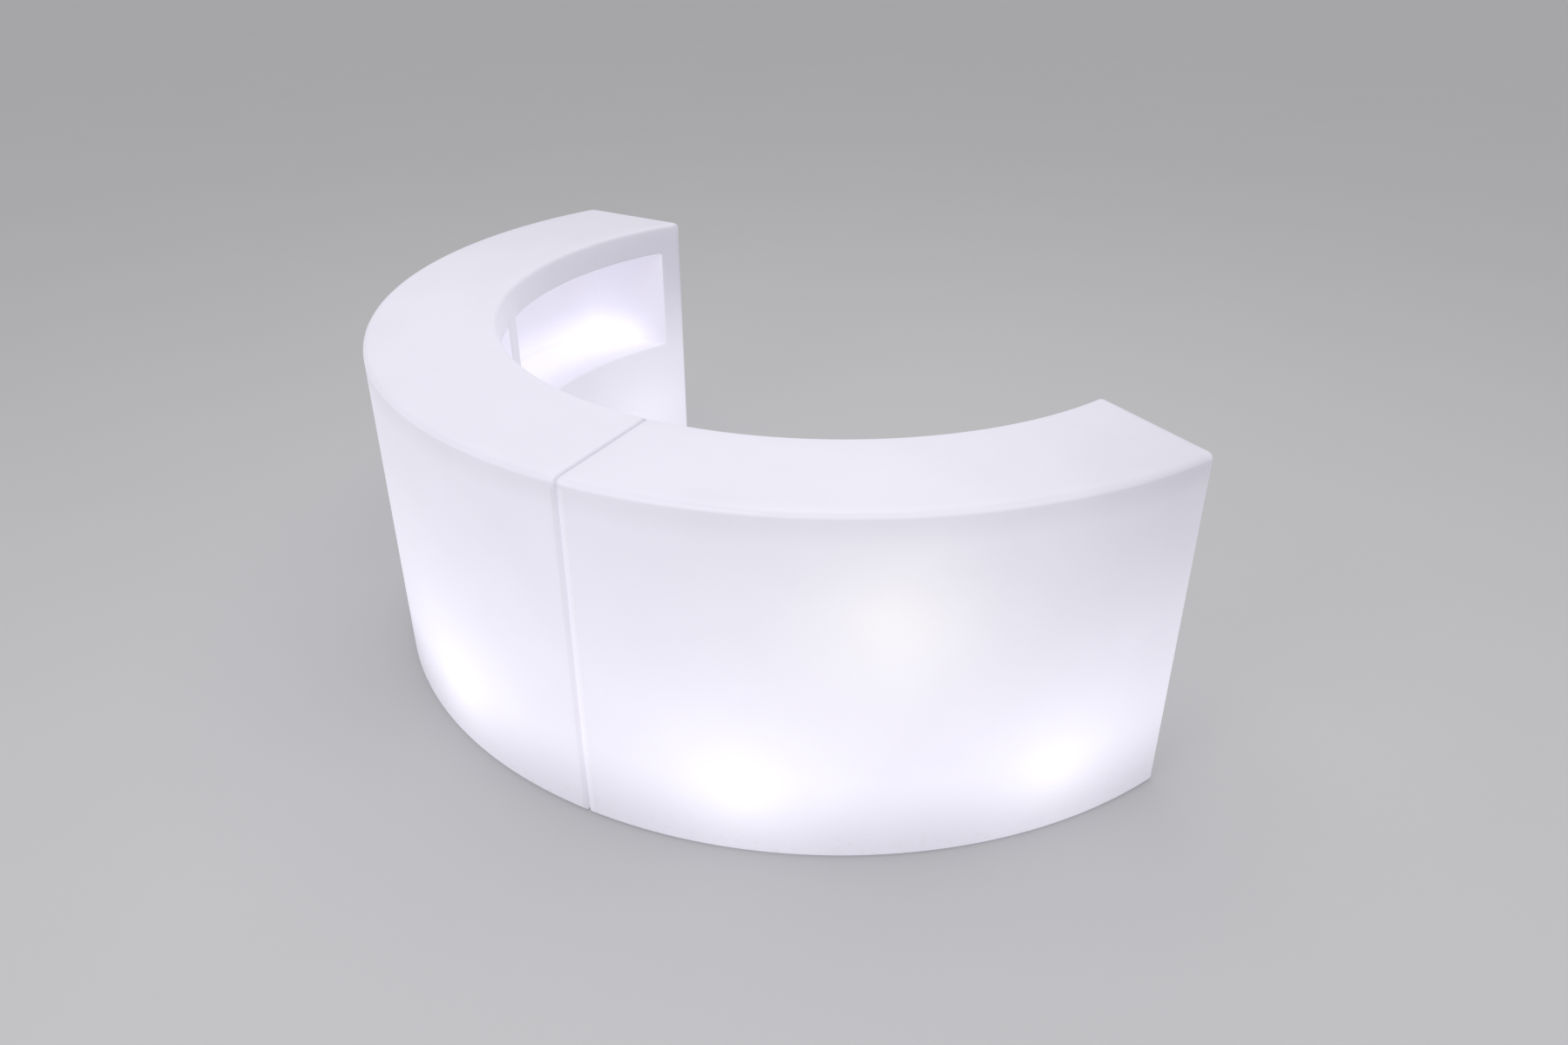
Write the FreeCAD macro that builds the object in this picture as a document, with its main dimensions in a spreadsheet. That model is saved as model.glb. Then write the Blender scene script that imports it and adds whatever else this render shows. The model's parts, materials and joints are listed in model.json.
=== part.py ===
import FreeCAD, Part
import math
import os

import Sketcher

# Illuminated round counter: two hollow moulded modules that stand end to end and make half a ring.
# +Z is up, the service side opens towards +Y, and the floor is at z = 0.
# Each module is drawn about the ring's axis with its seam end along local +X, then turned into place.

doc = FreeCAD.newDocument("round_counter")
sheet = doc.addObject("Spreadsheet::Sheet", "dim")

# Driving dimensions: lengths in millimetres, angles in degrees
SIZES = (
    # ring and shells
    ("counter_height", 1100.0),
    ("outer_radius", 1560.0),
    ("counter_depth", 422.0),
    ("shell_wall", 5.0),
    ("edge_radius", 18.0),
    ("foot_height", 6.0),
    ("seam_gap", 3.0),
    ("seam_angle", 294.0),
    ("left_span_angle", 112.4),
    ("left_end_angle", 20.0),
    ("right_span_angle", 65.9),
    ("right_end_angle", 8.2),
    # niches on the service side
    ("lip_height", 115.0),
    ("shelf_height", 585.0),
    ("niche_depth", 320.0),
    ("niche_span_angle", 47.5),
    ("niche_border", 85.0),
    ("niche_rib", 95.0),
    ("niche_radius", 20.0),
    # screw bosses on the shell's floor
    ("boss_radius", 8.0),
    ("boss_height", 14.0),
    ("screw_radius", 2.5),
    ("screw_length", 18.0),
    ("screw_head_radius", 4.8),
    ("screw_head_height", 2.4),
    # feet
    ("foot_radius", 30.0),
    # lamps: access cap in the floor, holder and bulb
    ("cap_radius", 75.0),
    ("cap_hole_radius", 55.0),
    ("cap_thickness", 3.0),
    ("cap_screw_circle", 65.0),
    ("gasket_thickness", 1.0),
    ("holder_base_radius", 32.0),
    ("holder_base_height", 18.0),
    ("holder_radius", 22.0),
    ("holder_height", 64.0),
    ("holder_bore_depth", 26.0),
    ("bulb_base_radius", 13.3),
    ("bulb_base_length", 28.0),
    ("globe_radius", 40.0),
    ("globe_neck_height", 30.0),
    ("globe_neck_radius", 30.0),
    ("globe_wall", 1.5),
    # junction box and leads inside
    ("box_length", 120.0),
    ("box_width", 70.0),
    ("box_height", 44.0),
    ("box_wall", 3.0),
    ("lead_radius", 4.0),
    ("lead_rise", 2.0),
    ("lead_bend", 60.0),
    # power plate in the service side's lower wall
    ("plate_angle", 24.0),
    ("plate_level", 230.0),
    ("plate_width", 130.0),
    ("plate_height", 90.0),
    ("plate_thickness", 3.0),
    ("plate_ledge", 12.0),
    ("seal_thickness", 1.5),
    ("plate_screw_radius", 2.0),
    ("plate_screw_head_radius", 4.0),
    ("plate_screw_reach", 3.0),
    # inlet with its flap
    ("inlet_offset", 28.0),
    ("inlet_drop", 6.0),
    ("inlet_width", 36.0),
    ("inlet_height", 30.0),
    ("inlet_depth", 30.0),
    ("inlet_wall", 4.0),
    ("inlet_cavity_depth", 16.0),
    ("inlet_flange", 4.0),
    ("flange_thickness", 2.5),
    ("inlet_pin_radius", 1.8),
    ("inlet_pin_length", 11.0),
    ("inlet_pin_pitch", 7.0),
    ("flap_thickness", 3.0),
    ("flap_gap", 0.4),
    ("knuckle_radius", 4.0),
    ("knuckle_length", 24.0),
    ("lug_length", 8.0),
    ("hinge_rise", 5.0),
    ("hinge_pin_radius", 1.5),
    # rocker switch
    ("switch_offset", 34.0),
    ("switch_width", 20.0),
    ("switch_height", 32.0),
    ("switch_depth", 24.0),
    ("switch_wall", 2.5),
    ("switch_cavity_depth", 14.0),
    ("rocker_height", 22.0),
    ("rocker_front", 12.0),
    ("rocker_back", 3.0),
    ("rocker_pivot_depth", 6.0),
    ("rocker_axle_radius", 1.5),
    ("rocker_tilt", 7.0),
    # fits
    ("fit_clearance", 0.08),
    ("slip_clearance", 0.3),
    ("cut_overrun", 20.0),
)

# Sizes that follow from the driving ones
DERIVED = (
    ("inner_radius", "=outer_radius - counter_depth"),
    ("floor_top", "=foot_height + shell_wall"),
    ("niche_top", "=counter_height - lip_height"),
    ("niche_back_radius", "=inner_radius + niche_depth"),
    ("foot_from_edge", "=counter_depth / 6"),
    ("lamp_from_inner", "=counter_depth / 2"),
    ("lamp_radius", "=inner_radius + lamp_from_inner"),
    ("holder_top", "=floor_top + holder_height"),
    ("bulb_seat", "=holder_top - holder_bore_depth"),
    ("bulb_base_top", "=bulb_seat + bulb_base_length"),
    ("box_top", "=floor_top + box_height"),
    ("lead_level", "=floor_top + box_wall + lead_rise + lead_radius"),
    ("recess_depth", "=plate_thickness + seal_thickness"),
    ("flange_width", "=inlet_width + 2 * inlet_flange"),
    ("flange_height", "=inlet_height + 2 * inlet_flange"),
    ("hinge_level", "=flange_height / 2 - inlet_drop + hinge_rise"),
    ("hinge_out", "=flange_thickness + flap_gap + flap_thickness / 2"),
    ("flap_top_drop", "=2 * hinge_rise + 2 * flap_gap"),
)

# Places along each module, as shares of its span from the seam to the free end
LEFT_LAMP_SHARES = (0.138, 0.542, 0.968)
RIGHT_LAMP_SHARES = (0.268, 0.772)
FOOT_SHARES = (0.05, 0.5, 0.95)

AXIS_X = FreeCAD.Vector(1, 0, 0)
AXIS_Y = FreeCAD.Vector(0, 1, 0)
AXIS_Z = FreeCAD.Vector(0, 0, 1)
CAP_SCREW_TURNS = (0, 120, 240)

for row, (alias, content) in enumerate(SIZES + DERIVED, start=1):
    sheet.set("A%d" % row, alias)
    sheet.set("B%d" % row, str(content))
    sheet.setAlias("B%d" % row, alias)
doc.recompute()


def size(alias):
    """Value of a named size."""
    return float(sheet.get(alias))


# Helpers: primitives whose sizes are formulas on the sheet

def shift(item, x="0", y="0", z="0"):
    """Bind a primitive's position to formulas."""
    item.setExpression("Placement.Base.x", x)
    item.setExpression("Placement.Base.y", y)
    item.setExpression("Placement.Base.z", z)
    return item


def box(name, length, width, height):
    """Box centred on the origin in x and z, with its near face at y = 0."""
    item = doc.addObject("Part::Box", name)
    item.setExpression("Length", length)
    item.setExpression("Width", width)
    item.setExpression("Height", height)
    return shift(item, "-(%s) / 2" % length, "0", "-(%s) / 2" % height)


def slab(name, length, height, near, far, x="0", z="0"):
    """Box centred at x and z that reaches from y = near to y = far."""
    item = box(name, length, "(%s) - (%s)" % (far, near), height)
    return shift(item, "(%s) - (%s) / 2" % (x, length), near, "(%s) - (%s) / 2" % (z, height))


def cylinder(name, radius, bottom, top):
    """Upright cylinder between two levels."""
    item = doc.addObject("Part::Cylinder", name)
    item.setExpression("Radius", radius)
    item.setExpression("Height", "(%s) - (%s)" % (top, bottom))
    return shift(item, z=bottom)


def cone(name, low_radius, high_radius, bottom, top):
    """Upright cone between two levels."""
    item = doc.addObject("Part::Cone", name)
    item.setExpression("Radius1", low_radius)
    item.setExpression("Radius2", high_radius)
    item.setExpression("Height", "(%s) - (%s)" % (top, bottom))
    return shift(item, z=bottom)


def rod(name, radius, near, far, x="0", z="0"):
    """Cylinder along Y from near to far."""
    item = cylinder(name, radius, near, far)
    item.Placement = FreeCAD.Placement(FreeCAD.Vector(), FreeCAD.Rotation(AXIS_X, -90))
    return shift(item, x, near, z)


def cross_rod(name, radius, length, x="0", y="0", z="0"):
    """Cylinder along X, centred at x."""
    item = cylinder(name, radius, "0", length)
    item.Placement = FreeCAD.Placement(FreeCAD.Vector(), FreeCAD.Rotation(AXIS_Y, 90))
    return shift(item, "(%s) - (%s) / 2" % (x, length), y, z)


def fuse(name, pieces):
    """Union of several pieces."""
    item = doc.addObject("Part::MultiFuse", name)
    item.Shapes = pieces
    return item


def cut(name, base, tools):
    """Base less the tools."""
    item = doc.addObject("Part::Cut", name)
    item.Base = base
    item.Tool = tools[0] if len(tools) == 1 else fuse(name + "_tools", tools)
    return item


def group(name, pieces):
    """Several separate solids kept as one sub-part."""
    item = doc.addObject("Part::Compound", name)
    item.Links = pieces
    return item


def placed(item, place):
    """Put a finished piece in its place."""
    item.Placement = place
    return item


def rounded(name, base, radius, chosen):
    """Round the chosen edges of a shape."""
    doc.recompute()
    item = doc.addObject("Part::Fillet", name)
    item.Base = base
    numbered = enumerate(base.Shape.Edges, start=1)
    item.Edges = [(index, radius, radius) for index, edge in numbered if chosen(edge)]
    return item


def polar(radius, angle, level=0.0, turn=0.0):
    """Place at a radius and angle about the ring's axis, turned about Z."""
    turned = math.radians(angle)
    spot = FreeCAD.Vector(radius * math.cos(turned), radius * math.sin(turned), level)
    return FreeCAD.Placement(spot, FreeCAD.Rotation(AXIS_Z, turn))


def arc_angle(length, radius):
    """Angle in degrees that a length takes along an arc."""
    return math.degrees(length / radius)


class Module:
    """One of the two modules: its name, the way it runs from the seam, its span and its end face."""

    def __init__(self, name, way, lamp_shares):
        self.name = name
        self.way = way
        self.span = size(name + "_span_angle")
        self.turn = size(name + "_end_angle")
        self.lamps = [way * share * self.span for share in lamp_shares]
        self.feet = [way * share * self.span for share in FOOT_SHARES]
        self.plate = way * size("plate_angle")

    def end_distance(self):
        """Distance of the free end's plane from the ring's axis."""
        return size("outer_radius") * math.sin(math.radians(self.turn))

    def end_angle(self, radius, inset):
        """Angle at which the free end's plane, moved in by inset, meets a circle."""
        reach = math.degrees(math.acos((self.end_distance() - inset) / radius))
        return self.way * (self.span + 90 - self.turn - reach)

    def seam_angle(self, radius, inset):
        """Angle at which the seam face, moved in by inset, meets a circle."""
        return self.way * math.degrees(math.asin((size("seam_gap") / 2 + inset) / radius))

    def niche_starts(self):
        """Lower angle of each niche, counted in from the free end."""
        rib = arc_angle(size("niche_rib"), size("inner_radius"))
        far = abs(self.end_angle(size("inner_radius"), size("niche_border")))
        starts = []
        while far - size("niche_span_angle") > rib:
            near = far - size("niche_span_angle")
            starts.append(near if self.way > 0 else -far)
            far = near - rib
        return starts

    def beyond_end(self, name, inset):
        """Block that takes up the space past the free end's plane, moved in by inset."""
        block = slab(name, "2 * dim.outer_radius", "2 * dim.counter_height", "0", "dim.counter_depth")
        facing = self.way * (self.span + 90 - self.turn)
        end_place = polar(self.end_distance() - inset, facing, 0.0, facing - 90)
        return placed(group(name + "_placed", [block]), end_place)


MODULES = (Module("left", -1, LEFT_LAMP_SHARES), Module("right", 1, RIGHT_LAMP_SHARES))


# Shell: plan outline, padded and rounded

def plan_form(module, name, inset, bottom, top, rounding):
    """Solid between two levels over a module's plan outline, moved in by inset."""
    inset_size = size("shell_wall") if inset != "0" else 0.0
    outer = size("outer_radius") - inset_size
    inner = size("inner_radius") + inset_size
    body = doc.addObject("PartDesign::Body", name)
    plane = [item for item in body.Origin.OriginFeatures if item.Role == "XY_Plane"][0]
    sketch = body.newObject("Sketcher::SketchObject", name + "_outline")
    sketch.AttachmentSupport = (plane, "")
    sketch.MapMode = "FlatFace"
    sketch.setExpression("AttachmentOffset.Base.z", bottom)

    corners = {}
    for radius in (outer, inner):
        ends = (module.seam_angle(radius, inset_size), module.end_angle(radius, inset_size))
        circle = Part.Circle(FreeCAD.Vector(), AXIS_Z, radius)
        sketch.addGeometry(Part.ArcOfCircle(circle, math.radians(min(ends)), math.radians(max(ends))))
        corners[radius] = [polar(radius, angle).Base for angle in ends]
    for which in (0, 1):
        sketch.addGeometry(Part.LineSegment(corners[inner][which], corners[outer][which]))

    seam_point, end_point = (1, 2) if module.way > 0 else (2, 1)
    for arc, line_point in ((0, 2), (1, 1)):
        sketch.addConstraint(Sketcher.Constraint("Coincident", arc, 3, -1, 1))
        sketch.addConstraint(Sketcher.Constraint("Coincident", 2, line_point, arc, seam_point))
        sketch.addConstraint(Sketcher.Constraint("Coincident", 3, line_point, arc, end_point))
    sketch.addConstraint(Sketcher.Constraint("Horizontal", 2))
    end_slope = math.radians(module.way * (module.span - module.turn))
    seam_ends = (-1, 1, 2, 2) if module.way > 0 else (2, 2, -1, 1)
    seam_inset = size("seam_gap") / 2 + inset_size
    sizes = (
        (Sketcher.Constraint("Radius", 0, outer), "outer_face", "dim.outer_radius - %s" % inset),
        (Sketcher.Constraint("Radius", 1, inner), "inner_face", "dim.inner_radius + %s" % inset),
        (Sketcher.Constraint("DistanceY", *seam_ends, seam_inset), "seam_face",
         "dim.seam_gap / 2 + %s" % inset),
        (Sketcher.Constraint("Angle", 3, end_slope), "end_slope",
         "%d * (dim.%s_span_angle - dim.%s_end_angle)" % (module.way, module.name, module.name)),
        (Sketcher.Constraint("Distance", -1, 1, 3, module.end_distance() - inset_size), "end_face",
         "dim.outer_radius * sin(dim.%s_end_angle) - %s" % (module.name, inset)),
    )
    for constraint, label, formula in sizes:
        number = sketch.addConstraint(constraint)
        sketch.renameConstraint(number, label)
        sketch.setExpression("Constraints." + label, formula)

    pad = body.newObject("PartDesign::Pad", name + "_pad")
    pad.Profile = sketch
    pad.setExpression("Length", "%s - (%s)" % (top, bottom))
    doc.recompute()
    base_level = min(vertex.Z for vertex in pad.Shape.Vertexes)
    upper = ["Edge%d" % index for index, edge in enumerate(pad.Shape.Edges, start=1)
             if edge.BoundBox.ZMax > base_level + size("shell_wall")]
    fillet = body.newObject("PartDesign::Fillet", name + "_rounding")
    fillet.Base = (pad, upper)
    fillet.setExpression("Radius", rounding)
    body.Tip = fillet
    return body


def niche_form(module, name, start, grow):
    """Ring-shaped hollow of one niche, grown on all its closed sides by a wall if asked."""
    grown = "dim.shell_wall" if grow else "0"
    sweep = "dim.niche_span_angle + 2 * %s / dim.inner_radius * 180 / pi" % grown
    margin = arc_angle(size("shell_wall"), size("inner_radius")) if grow else 0.0
    low = "dim.shelf_height - %s" % grown
    high = "dim.niche_top + %s" % grown
    sector = cylinder(name + "_sector", "dim.niche_back_radius + %s" % grown, low, high)
    sector.setExpression("Angle", sweep)
    mouth = cylinder(name + "_mouth", "dim.inner_radius - dim.cut_overrun", low, high)
    ring_piece = cut(name + "_ring_piece", sector, [mouth])
    ring_piece.Placement = FreeCAD.Placement(FreeCAD.Vector(), FreeCAD.Rotation(AXIS_Z, start - margin))
    wall = size("shell_wall") if grow else 0.0
    beyond = module.beyond_end(name + "_end", size("niche_border") - wall)
    hollow = cut(name + "_hollow", ring_piece, [beyond])
    radius = size("niche_radius") + wall
    mouth_radius = size("inner_radius") - size("cut_overrun") / 2

    def behind_mouth(edge):
        return max(math.hypot(vertex.X, vertex.Y) for vertex in edge.Vertexes) > mouth_radius

    return rounded(name, hollow, radius, behind_mouth)


def boss_spots(module):
    """Places of the screw bosses for caps and for feet."""
    caps = []
    for angle in module.lamps:
        centre = polar(size("lamp_radius"), angle, 0.0, angle)
        caps += [centre * polar(size("cap_screw_circle"), turn) for turn in CAP_SCREW_TURNS]
    feet = foot_spots(module)
    return caps, feet


def foot_spots(module):
    """Places of the feet: two rows along the module, clear of its edges."""
    rows = (size("inner_radius") + size("foot_from_edge"), size("outer_radius") - size("foot_from_edge"))
    return [polar(radius, angle) for angle in module.feet for radius in rows]


def copies(name, spots, maker):
    """One piece per spot, made by maker about its own axis and then placed."""
    made = []
    for index, spot in enumerate(spots, start=1):
        label = "%s_%d" % (name, index)
        made.append(placed(group(label + "_placed", [maker(label)]), spot))
    return made


def at_plate(module):
    """Place of the power plate: on the inner wall, local Y pointing into the wall."""
    return polar(size("inner_radius"), module.plate, size("plate_level"), module.plate - 90)


PLATE_ROOM_WIDTH = "dim.plate_width + 2 * dim.slip_clearance"
PLATE_ROOM_HEIGHT = "dim.plate_height + 2 * dim.slip_clearance"


def plate_screw_spots():
    """Screw places on the power plate, one near each corner."""
    across = size("plate_width") / 2 - size("plate_ledge") / 2
    along = size("plate_height") / 2 - size("plate_ledge") / 2
    return [FreeCAD.Placement(FreeCAD.Vector(x, 0, z), FreeCAD.Rotation())
            for x in (-across, across) for z in (-along, along)]


def plate_screw_holes(name, near, far):
    """Screw holes of the power plate between two depths."""
    radius = "dim.plate_screw_radius + dim.fit_clearance"
    return copies(name, plate_screw_spots(), lambda label: rod(label, radius, near, far))


def shell(module):
    """Hollow moulded shell with its niches, floor openings, bosses and the power plate's recess."""
    name = module.name
    outside = plan_form(module, name + "_outside", "0", "dim.foot_height", "dim.counter_height",
                        "dim.edge_radius")
    core = plan_form(module, name + "_core", "dim.shell_wall", "dim.floor_top",
                     "dim.counter_height - dim.shell_wall", "dim.edge_radius - dim.shell_wall")
    niches = [niche_form(module, "%s_niche_%d" % (name, index), start, False)
              for index, start in enumerate(module.niche_starts(), start=1)]
    jackets = [niche_form(module, "%s_jacket_%d" % (name, index), start, True)
               for index, start in enumerate(module.niche_starts(), start=1)]
    cap_spots, feet = boss_spots(module)

    def boss(label):
        return cylinder(label, "dim.boss_radius", "dim.foot_height", "dim.floor_top + dim.boss_height")

    def boss_hole(label):
        return cylinder(label, "dim.screw_radius + dim.fit_clearance", "0",
                        "dim.foot_height + dim.screw_length")

    def cap_hole(label):
        return cylinder(label, "dim.cap_hole_radius", "0", "dim.floor_top + dim.cut_overrun")

    lamp_spots = [polar(size("lamp_radius"), angle) for angle in module.lamps]
    bosses = copies(name + "_boss", cap_spots + feet, boss)
    boss_holes = copies(name + "_boss_hole", cap_spots + feet, boss_hole)
    cap_holes = copies(name + "_cap_hole", lamp_spots, cap_hole)

    place = at_plate(module)
    pad_block = slab(name + "_plate_block", PLATE_ROOM_WIDTH + " + 2 * dim.shell_wall",
                     PLATE_ROOM_HEIGHT + " + 2 * dim.shell_wall", "0", "dim.recess_depth + dim.shell_wall")
    recess = slab(name + "_plate_recess", PLATE_ROOM_WIDTH, PLATE_ROOM_HEIGHT, "-dim.cut_overrun",
                  "dim.recess_depth")
    window = slab(name + "_plate_window", "dim.plate_width - 2 * dim.plate_ledge",
                  "dim.plate_height - 2 * dim.plate_ledge", "0", "dim.recess_depth + dim.cut_overrun")
    holes = plate_screw_holes(name + "_plate_screw_hole", "0", "dim.recess_depth + dim.cut_overrun")
    plate_block = placed(group(name + "_plate_pad", [pad_block]), place)
    plate_room = placed(fuse(name + "_plate_room", [recess, window] + holes), place)

    hollow = cut(name + "_hollow", core, jackets + bosses + [plate_block])
    return cut(name + "_shell", outside, [hollow] + niches + boss_holes + cap_holes + [plate_room])


# Lamps: cap, gasket, holder, bulb base and globe, drawn about the lamp's own axis

CAP_TOP = "dim.foot_height - dim.gasket_thickness"
CAP_BOTTOM = CAP_TOP + " - dim.cap_thickness"


def cap_screw_hole(name):
    """Countersunk hole through the cap's flange."""
    sink = cone(name + "_sink", "dim.screw_head_radius + dim.fit_clearance",
                "dim.screw_radius + dim.fit_clearance",
                CAP_BOTTOM, CAP_BOTTOM + " + dim.screw_head_height")
    bore = cylinder(name + "_bore", "dim.screw_radius + dim.fit_clearance", CAP_BOTTOM, "dim.foot_height")
    return fuse(name, [sink, bore])


def cap_screw_spots():
    """Screw places about the lamp's axis."""
    return [polar(size("cap_screw_circle"), turn) for turn in CAP_SCREW_TURNS]


def cap(name):
    """Access cap: a flange under the floor and a spigot through it."""
    flange = cylinder(name + "_flange", "dim.cap_radius", CAP_BOTTOM, CAP_TOP)
    spigot = cylinder(name + "_spigot", "dim.cap_hole_radius - dim.slip_clearance", CAP_BOTTOM,
                      "dim.floor_top")
    return cut(name, fuse(name + "_blank", [flange, spigot]),
               copies(name + "_screw_hole", cap_screw_spots(), cap_screw_hole))


def cap_gasket(name):
    """Flat ring between the cap's flange and the floor."""
    ring = cylinder(name + "_ring", "dim.cap_radius", CAP_TOP, "dim.foot_height")
    inside = cylinder(name + "_inside", "dim.cap_hole_radius", CAP_TOP, "dim.foot_height")

    def hole(label):
        return cylinder(label, "dim.screw_radius + dim.fit_clearance", CAP_TOP, "dim.foot_height")

    return cut(name, ring, [inside] + copies(name + "_hole", cap_screw_spots(), hole))


def cap_screw(name):
    """Countersunk screw, up through the cap into its boss."""
    head = cone(name + "_head", "dim.screw_head_radius", "dim.screw_radius",
                CAP_BOTTOM, CAP_BOTTOM + " + dim.screw_head_height")
    shank = cylinder(name + "_shank", "dim.screw_radius", CAP_BOTTOM, CAP_BOTTOM + " + dim.screw_length")
    return fuse(name, [head, shank])


def lampholder(name):
    """Upright holder on the cap, with a bore for the bulb's base."""
    base = cylinder(name + "_base", "dim.holder_base_radius", "dim.floor_top",
                    "dim.floor_top + dim.holder_base_height")
    stem = cylinder(name + "_stem", "dim.holder_radius", "dim.floor_top", "dim.holder_top")
    bore = cylinder(name + "_bore", "dim.bulb_base_radius + dim.slip_clearance", "dim.bulb_seat",
                    "dim.holder_top + dim.cut_overrun")
    return cut(name, fuse(name + "_blank", [base, stem]), [bore])


def bulb_base(name):
    """Metal base of the bulb, seated in the holder."""
    return group(name, [cylinder(name + "_turned", "dim.bulb_base_radius", "dim.bulb_seat",
                                 "dim.bulb_base_top")])


def globe_form(name, inset):
    """Outside of the globe, or its inside when set in by the wall."""
    neck_top = "dim.bulb_base_top + dim.globe_neck_height"
    neck = cone(name + "_neck", "dim.bulb_base_radius - %s" % inset, "dim.globe_neck_radius - %s" % inset,
                "dim.bulb_base_top", neck_top)
    ball = doc.addObject("Part::Sphere", name + "_ball")
    ball.setExpression("Radius", "dim.globe_radius - %s" % inset)
    shift(ball, z="%s + sqrt(dim.globe_radius ^ 2 - dim.globe_neck_radius ^ 2)" % neck_top)
    return fuse(name, [neck, ball])


def bulb_globe(name):
    """Opal globe of the bulb, open where it meets the base."""
    return cut(name, globe_form(name + "_outside", "0"), [globe_form(name + "_inside", "dim.globe_wall")])


# Feet

def foot(name):
    """Rubber foot with a counterbore for its screw."""
    pad = cylinder(name + "_pad", "dim.foot_radius", "0", "dim.foot_height")
    bore = cylinder(name + "_bore", "dim.screw_radius + dim.fit_clearance", "0", "dim.foot_height")
    sink = cylinder(name + "_sink", "dim.screw_head_radius + dim.slip_clearance", "0", "dim.foot_height / 2")
    return cut(name, pad, [bore, sink])


def foot_screw(name):
    """Pan-head screw, up through a foot into its boss."""
    head = cylinder(name + "_head", "dim.screw_head_radius", "dim.foot_height / 2 - dim.screw_head_height",
                    "dim.foot_height / 2")
    shank = cylinder(name + "_shank", "dim.screw_radius", "dim.foot_height / 2",
                     "dim.foot_height / 2 + dim.screw_length")
    return fuse(name, [head, shank])


# Junction box, its lid and the leads

def junction_box(name):
    """Open box on the shell's floor, with a hole for a lead in each end, bent as the lead is."""
    block = slab(name + "_block", "dim.box_length", "dim.box_height", "-dim.box_width / 2",
                 "dim.box_width / 2",
                 z="dim.floor_top + dim.box_height / 2")
    room = slab(name + "_room", "dim.box_length - 2 * dim.box_wall", "dim.box_height",
                "-dim.box_width / 2 + dim.box_wall", "dim.box_width / 2 - dim.box_wall",
                z="dim.floor_top + dim.box_height / 2 + dim.box_wall")
    entry = doc.addObject("Part::Torus", name + "_entry")
    entry.setExpression("Radius1", "dim.lamp_radius")
    entry.setExpression("Radius2", "dim.lead_radius + dim.slip_clearance")
    shift(entry, y="-dim.lamp_radius", z="dim.lead_level")
    return cut(name, block, [room, entry])


def box_lid(name):
    """Lid of the junction box, with a hole for the inlet's lead."""
    panel = slab(name + "_panel", "dim.box_length", "dim.box_wall", "-dim.box_width / 2", "dim.box_width / 2",
                 z="dim.box_top + dim.box_wall / 2")
    hole = cylinder(name + "_hole", "dim.lead_radius + dim.slip_clearance", "dim.box_top - dim.cut_overrun",
                    "dim.box_top + dim.cut_overrun")
    hole.setExpression("Placement.Base.x", "-dim.inlet_offset")
    return cut(name, panel, [hole])


def lead_stops(module):
    """Stretches between neighbours along the lamp circle: start and end angles of each lead."""
    holder_reach = size("holder_base_radius") + size("slip_clearance")
    holder = math.degrees(math.asin(holder_reach / size("lamp_radius")))
    box_half = math.degrees(math.asin((size("box_length") / 2 - size("box_wall")) / size("lamp_radius")))
    stops = sorted([(angle, holder) for angle in module.lamps] + [(module.plate, box_half)])
    return [(a + reach_a, b - reach_b) for (a, reach_a), (b, reach_b) in zip(stops, stops[1:])]


def lamp_leads(module):
    """Leads that run just above the floor from holder to holder, by way of the junction box."""
    name = module.name + "_lamp_lead"
    leads = []
    for index, (start, end) in enumerate(lead_stops(module), start=1):
        lead = doc.addObject("Part::Torus", "%s_%d" % (name, index))
        lead.setExpression("Radius1", "dim.lamp_radius")
        lead.setExpression("Radius2", "dim.lead_radius")
        lead.Angle3 = end - start
        lead.Placement = FreeCAD.Placement(FreeCAD.Vector(), FreeCAD.Rotation(AXIS_Z, start))
        leads.append(shift(lead, z="dim.lead_level"))
    return group(module.name + "_lamp_leads", leads)


def inlet_lead(name):
    """Lead from the back of the inlet, out and down into the junction box's lid."""
    bend_at = "dim.lamp_from_inner - dim.lead_bend"
    run = rod(name + "_run", "dim.lead_radius", "dim.inlet_depth", bend_at, x="-dim.inlet_offset",
              z="-dim.inlet_drop")
    bend = doc.addObject("Part::Torus", name + "_bend")
    bend.setExpression("Radius1", "dim.lead_bend")
    bend.setExpression("Radius2", "dim.lead_radius")
    bend.Angle3 = 90
    bend.Placement = FreeCAD.Placement(FreeCAD.Vector(), FreeCAD.Rotation(AXIS_Y, -90))
    shift(bend, "-dim.inlet_offset", bend_at, "-dim.inlet_drop - dim.lead_bend")
    drop = cylinder(name + "_drop", "dim.lead_radius", "dim.box_top - dim.plate_level",
                    "-dim.inlet_drop - dim.lead_bend")
    drop.setExpression("Placement.Base.x", "-dim.inlet_offset")
    drop.setExpression("Placement.Base.y", "dim.lamp_from_inner")
    return fuse(name, [run, bend, drop])


# Power plate with its seal, inlet, flap and switch: x along the wall, y into it, z up from the plate's centre

INLET_X = "-dim.inlet_offset"
INLET_Z = "-dim.inlet_drop"
SWITCH_X = "dim.switch_offset"


def power_plate(name):
    """Flat plate in the shell's recess, cut out for the inlet and the switch."""
    panel = slab(name + "_panel", "dim.plate_width", "dim.plate_height", "0", "dim.plate_thickness")
    inlet_hole = slab(name + "_inlet_hole", "dim.inlet_width + 2 * dim.slip_clearance",
                      "dim.inlet_height + 2 * dim.slip_clearance", "0", "dim.plate_thickness", INLET_X,
                      INLET_Z)
    switch_hole = slab(name + "_switch_hole", "dim.switch_width + 2 * dim.slip_clearance",
                       "dim.switch_height + 2 * dim.slip_clearance", "0", "dim.plate_thickness", SWITCH_X)
    return cut(name, panel, [inlet_hole, switch_hole] + plate_screw_holes(name + "_hole", "0",
                                                                          "dim.plate_thickness"))


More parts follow.
